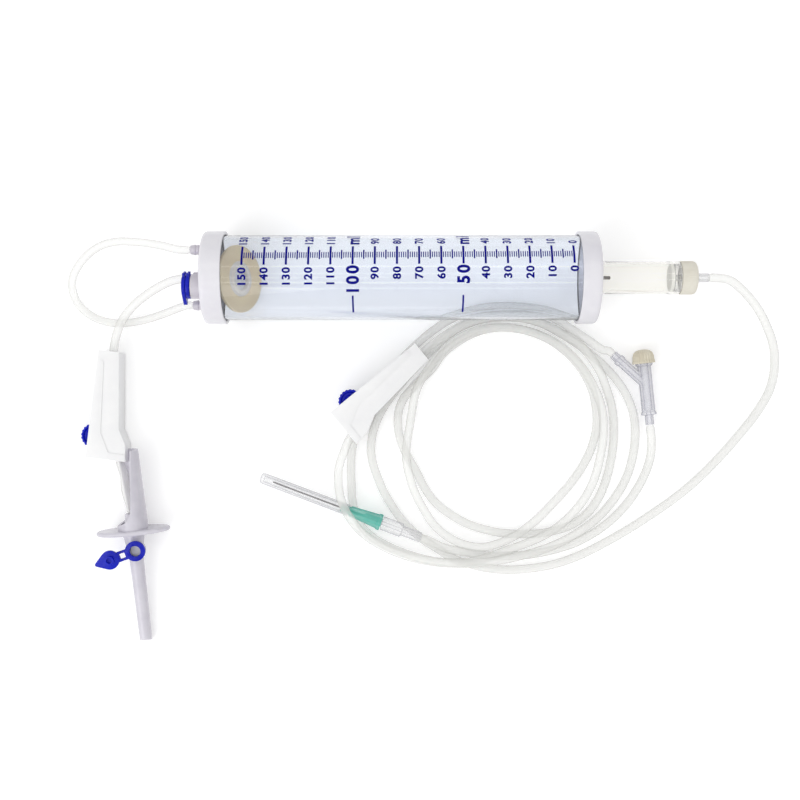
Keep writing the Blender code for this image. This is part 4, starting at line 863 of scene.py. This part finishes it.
def printed_text(words, value, size, edge, end=True, stretch=1.0, spacing=1.15):
    """Digits that read round the chamber; their last (or first) edge is at an angle in degrees."""
    points, faces = flat_text(words, size, stretch, spacing)
    width = points[:, 0].max()
    round_the_wall = points[:, 0] - (width if end else 0.0)
    middle = (points[:, 1].min() + points[:, 1].max()) / 2
    a = edge + np.degrees(round_the_wall / PRINT_R)
    return np.column_stack([scale_at(value) - (points[:, 1] - middle), a]), faces


def gather(parts):
    """Join (points, faces) pairs into one."""
    points, faces, first = [], [], 0
    for p, f in parts:
        points.append(p)
        faces += [[int(i) + first for i in face] for face in f]
        first += len(p)
    return np.vstack(points), faces


print("a millilitre takes", round(SCALE_LENGTH / SCALE_MOST, 3), "mm of the scale")

# %% The marks and numbers
TENS = np.arange(0, 151, 10)
FIVES = np.arange(5, 150, 10)
ONES = np.array([v for v in range(151) if v % 5])
LARGE = (100, 50)
marks = [ticks(TENS, 38.9, 10.9, 0.95), ticks(FIVES, 32.4, 18.2, 0.65),
         ticks(ONES, 28.9, 20.3, 0.45), ticks(LARGE, -31.0, -60.0, 0.8)]
for value in TENS:
    if value in LARGE:
        marks.append(printed_text(str(value), value, 7.4, 9.4, stretch=0.96, spacing=1.3))
    else:
        marks.append(printed_text(str(value), value, 4.7, 7.4, stretch=1.08))
        marks.append(printed_text(str(value), value, 4.9, 43.5, end=False, stretch=0.9))
for value in LARGE:
    marks.append(printed_text("ml", value, 7.6, 42.5, end=False))
points, faces = gather(marks)
scale_print = add_mesh("scale_print", wrapped(points), faces, INK)
print("scale of", len(faces), "faces")

# %% [markdown]
# ## Copies with softened edges
#
# Clamps, vent caps and the injection site have the right shape as solids, but moulded edges are
# rounded. We copy such a solid, merge its loose triangles, drop the edges inside its flat faces,
# round the sharp ones a little, and let the larger faces decide the shading.

# %% Softening
EDGE = 0.3                         # width of a rounded edge, mm


def softened(node, name, material, width, body="set"):
    """A copy that stands for a solid, with its edges rounded by a width in millimetres."""
    bm = bmesh.new()
    bm.from_mesh(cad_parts[node].data)
    bmesh.ops.remove_doubles(bm, verts=bm.verts, dist=2e-6)
    bmesh.ops.dissolve_limit(bm, angle_limit=math.radians(1.0), verts=bm.verts, edges=bm.edges)
    mesh = bpy.data.meshes.new(name)
    bm.to_mesh(mesh)
    bm.free()
    mesh.shade_smooth()
    mesh.materials.append(material)
    piece = add_object(name, mesh)
    bevel = piece.modifiers.new("rounded edges", "BEVEL")
    bevel.width = width * MM
    bevel.segments = 3
    bevel.limit_method = "ANGLE"
    bevel.angle_limit = math.radians(32)
    bevel.harden_normals = True
    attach(piece, body)
    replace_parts(piece, node)


for vent in ("burette_vent", "spike_vent"):
    softened(f"{vent}_collar", f"{vent}_ring", BLUE_PLASTIC, EDGE)
    softened(f"{vent}_cap", f"{vent}_flap", BLUE_PLASTIC, EDGE, f"{vent}_lid")
    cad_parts[f"{vent}_filter"].material_slots[0].material = FILTER_PAPER
print("vents made")

# %% [markdown]
# ## Roller clamps
#
# Each clamp is a white box, open along one side, with a raised panel that follows its track. Its
# blue wheel has a knurled rim, so it is turned with ridges, and it rides on its own body to slide
# along the track.

# %% Clamps and their wheels
softened("inlet_clamp_body", "inlet_clamp", CLAMP_PLASTIC, EDGE)
softened("flow_clamp_body", "flow_clamp", CLAMP_PLASTIC, EDGE)
ROLLER_R, PIN_R, WHEEL_HALF, PIN_HALF = 5.7, 1.0, 4.6, 5.5
ROLLER_ACROSS, ROLLER_ALONG = 1.9, -39.4
ROLLER_PROFILE = [(0.15, -PIN_HALF), (PIN_R, -PIN_HALF), (PIN_R, -WHEEL_HALF), (2.6, -WHEEL_HALF),
                  (3.1, -WHEEL_HALF + 1.1), (4.1, -WHEEL_HALF + 1.1), (4.5, -WHEEL_HALF),
                  (ROLLER_R - 0.6, -WHEEL_HALF), (ROLLER_R, -WHEEL_HALF + 0.6)]
ROLLER_PROFILE += [(r, -h) for r, h in reversed(ROLLER_PROFILE)]
for clamp, (place, turn) in (("inlet", INLET_CLAMP), ("flow", FLOW_CLAMP)):
    middle = inside(frame_matrix(place, (0, 0, turn)), (ROLLER_ACROSS, ROLLER_ALONG, CLAMP_MIDDLE))
    turned(f"{clamp}_wheel", [ROLLER_PROFILE], middle, BLUE_PLASTIC, sides=240,
           body=f"{clamp}_roller", replaces=[f"{clamp}_clamp_roller"], radius=0.15,
           ridge=(ROLLER_R - 0.3, 0.35, 20))
print("wheels made")

# %% [markdown]
# ## The spike
#
# The spike pierces the fluid bag. Its shaft ends square with a slight slant, a thin oval flange
# stops the fingers, and a guard that is open on one side shields the tubing. The guard is part of a
# cone: at height y its wall runs from the lower edge g(y) round the side to the upper edge f(y),
#
#     -arccos(g(y) / r) < a < arccos(f(y) / r)
#
# and the grid runs round the outside from one edge to the other and back along the inside.

# %% Shaft, flange and boss
SPIKE = frame_matrix((-123.0, -60.3, 8.3), (math.radians(5.8), 0.0, math.radians(5.2)))
SPIKE_TIP, SLANT = -53.0, math.radians(20)
SLANT_START = SPIKE_TIP + 6.0
FLANGE_ACROSS, FLANGE_DEEP, FLANGE_HALF = 17.0, 8.0, 1.0
GUARD_LENGTH, GUARD_WALL, GUARD_LEAN = 37.5, 1.2, math.radians(4)
GUARD_R, GUARD_TIP_R = 7.0, 6.3
GUARD_UPPER = np.array([(0, -7.2), (3.0, -7.0), (5.2, -1.9), (8.5, 0.4), (12.0, 1.0), (23.5, 2.2),
                        (36.0, 3.6), (GUARD_LENGTH, 3.8)])
GUARD_LOWER = np.array([(0, -7.2), (3.0, -7.0), (5.2, -3.0), (8.5, -2.4), (20.0, -3.2),
                        (GUARD_LENGTH, -4.0)])


def spike_shell(name, local):
    """A closed surface of the spike from a grid of points (rows, sides, 3) in its own frame."""
    faces = grid_faces(*local.shape[:2], close_rows=True)
    return add_mesh(name, placed(local, SPIKE), faces, SPIKE_PLASTIC)


def spike_shaft(sides=96):
    """A turned shaft whose end slants: h grows by tan(slant) times the upward share of r."""
    outline = rounded([(SPIKE_TIP + 1.0, 1.2), (SPIKE_TIP + 1.0, 2.85), (SLANT_START, 2.85),
                       (-24.0, 3.05), (-12.0, 3.3), (-1.0, 5.0), (1.0, 5.0), (2.0, 3.8),
                       (6.2, 3.2), (8.2, 3.0), (8.2, 1.2)], 0.5)
    h, r = outline[:, :1], outline[:, 1:]
    angle = 2 * np.pi * np.arange(sides) / sides
    up = r * np.sin(angle)
    share = np.clip((SLANT_START - h) / 5.0, 0.0, 1.0)
    local = np.stack([r * np.cos(angle), h + share * math.tan(SLANT) * up, up], axis=-1)
    return spike_shell("spike_shaft", local)


def spike_flange(sides=144):
    """An oval plate: its rim's section is rounded, and its radii follow (a cos t, b sin t)."""
    rim = 1.0 - 0.7 / FLANGE_ACROSS
    section = rounded([(0.06, -FLANGE_HALF), (rim, -FLANGE_HALF), (1.0, -FLANGE_HALF + 0.6),
                       (1.0, FLANGE_HALF - 0.6), (rim, FLANGE_HALF), (0.06, FLANGE_HALF)], 0.03)
    t = 2 * np.pi * np.arange(sides) / sides
    s, h = section[:, :1], section[:, 1:]
    local = np.stack([s * FLANGE_ACROSS * np.cos(t), h + 0 * t, s * FLANGE_DEEP * np.sin(t)],
                     axis=-1)
    spike_shell("spike_flange", local)


def spike_guard(rows=90, columns=48):
    """Part of a cone between an upper and a lower edge, as outer and inner walls in one shell."""
    y = np.linspace(0.0, GUARD_LENGTH, rows)
    outer = GUARD_R + (GUARD_TIP_R - GUARD_R) * y / GUARD_LENGTH
    top, bottom = (np.arccos(np.clip(np.interp(y, *edge.T) / outer, -0.999, 0.999))[:, None]
                   for edge in (GUARD_UPPER, GUARD_LOWER))
    across = np.linspace(0, 1, columns)[None, :]
    walls = []
    for radius, share in ((outer, across), (outer - GUARD_WALL, 1 - across)):
        a = top * share - bottom * (1 - share) - GUARD_LEAN
        walls.append(np.stack([radius[:, None] * np.cos(a), y[:, None] + 0 * a,
                               radius[:, None] * np.sin(a)], axis=-1))
    ring = 2 * columns
    near, far = list(range(ring)), list(range((rows - 1) * ring, rows * ring))
    faces = [*grid_faces(rows, ring).tolist(), near, far[::-1]]
    add_mesh("spike_guard", placed(np.concatenate(walls, axis=1), SPIKE), faces, SPIKE_PLASTIC)


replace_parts(spike_shaft(), "spike_body")
spike_flange()
spike_guard()
turned("spike_vent_boss",
       [[(2.8, 0.5), (2.8, 0.5), (3.6, 1.8), (4.2, 3.6), (4.2, 6.3), (2.8, 6.3)]],
       inside(SPIKE, (1.6, -8.0, 0.0)), SPIKE_PLASTIC, sides=72)
print("spike made")

# %% [markdown]
# ## The injection site
#
# A clear hard body joins the tubing, and an amber latex cap with fine ribs seals its upper end,
# where a needle can be pushed through.

# %% Site body and cap
softened("y_site_body", "site_body", SITE_CLEAR, 0.2)
SITE_SKIRT, SITE_CAP, SITE_HEAD, SITE_TOP = 4.3, 5.25, 10.6, 16.2
turned("site_cap", [[
    (0.15, SITE_HEAD + 0.3), (SITE_SKIRT, SITE_HEAD + 0.3), (SITE_SKIRT, SITE_HEAD - 0.9),
    (SITE_CAP, SITE_HEAD - 0.9), (SITE_CAP, SITE_HEAD + 0.1), (SITE_CAP - 0.25, SITE_HEAD + 0.6),
    (SITE_CAP - 0.3, SITE_TOP - 3.2), (SITE_CAP - 0.9, SITE_TOP - 1.5),
    (SITE_CAP - 2.2, SITE_TOP - 0.4), (SITE_CAP - 4.0, SITE_TOP), (0.15, SITE_TOP)]],
    inside(frame_matrix(SITE_AT, (0, 0, SITE_TURN)), axis="Y"), LATEX, sides=288,
    replaces=["y_site_cap"], ridge=(SITE_CAP - 1.2, 0.32, 24))
print("injection site made")

# %% [markdown]
# ## The needle
#
# The steel needle sits in a green hub, under a clear cover that slides off. The clear luer end of
# the tubing plugs into the hub.

# %% Needle, hub, cover and luer end
NEEDLE = frame_matrix((-8.7, -56.7, 7.2), (0, 0, math.radians(-20.6)), axis="X")
HUB_NOSE, LUER_TIP, NEEDLE_START, NEEDLE_END = -20.0, 7.0, -9.2, -53.4
COVER_MOUTH, COVER_END, COVER_R = -16.0, -59.4, 2.65
turned("hub", [[
    (0.71, HUB_NOSE), (1.85, HUB_NOSE), (1.85, HUB_NOSE + 4.3), (2.45, HUB_NOSE + 4.9), (3.4, -2.0),
    (3.85, -1.7), (3.85, 0.0), (2.05, 0.0), (1.85, -LUER_TIP - 1.0), (0.71, -LUER_TIP - 1.8)]],
    NEEDLE, GREEN_CLEAR, sides=192, replaces=["needle_hub"], radius=0.3, ridge=(2.3, 0.22, 8))
turned("needle", [[
    (0.41, NEEDLE_START), (0.41, NEEDLE_END + 1.0), (0.30, NEEDLE_END), (0.26, NEEDLE_END),
    (0.26, NEEDLE_START)]],
    NEEDLE, STEEL, sides=32, replaces=["needle_cannula"], radius=0.05)
turned("cover_tube", [[
    (0.12, COVER_END), (COVER_R - 0.9, COVER_END), (COVER_R - 0.35, COVER_END + 0.5),
    (COVER_R - 0.1, COVER_END + 1.5), (COVER_R, COVER_MOUTH), (2.15, COVER_MOUTH),
    (2.05, COVER_MOUTH - 5.5), (1.55, COVER_END + 1.6), (0.12, COVER_END + 1.6)]],
    NEEDLE, COVER_CLEAR, sides=72, body="cover", replaces=["needle_cover"], radius=0.3)
turned("luer_end", [[
    (0.9, -LUER_TIP), (1.5, -LUER_TIP), (1.75, 0.3), (3.25, 0.3), (3.25, 10.0), (2.35, 10.6),
    (2.35, 19.6), (0.9, 19.6)]],
    NEEDLE, COVER_CLEAR, sides=72, replaces=["luer_connector"])
print("needle end made")
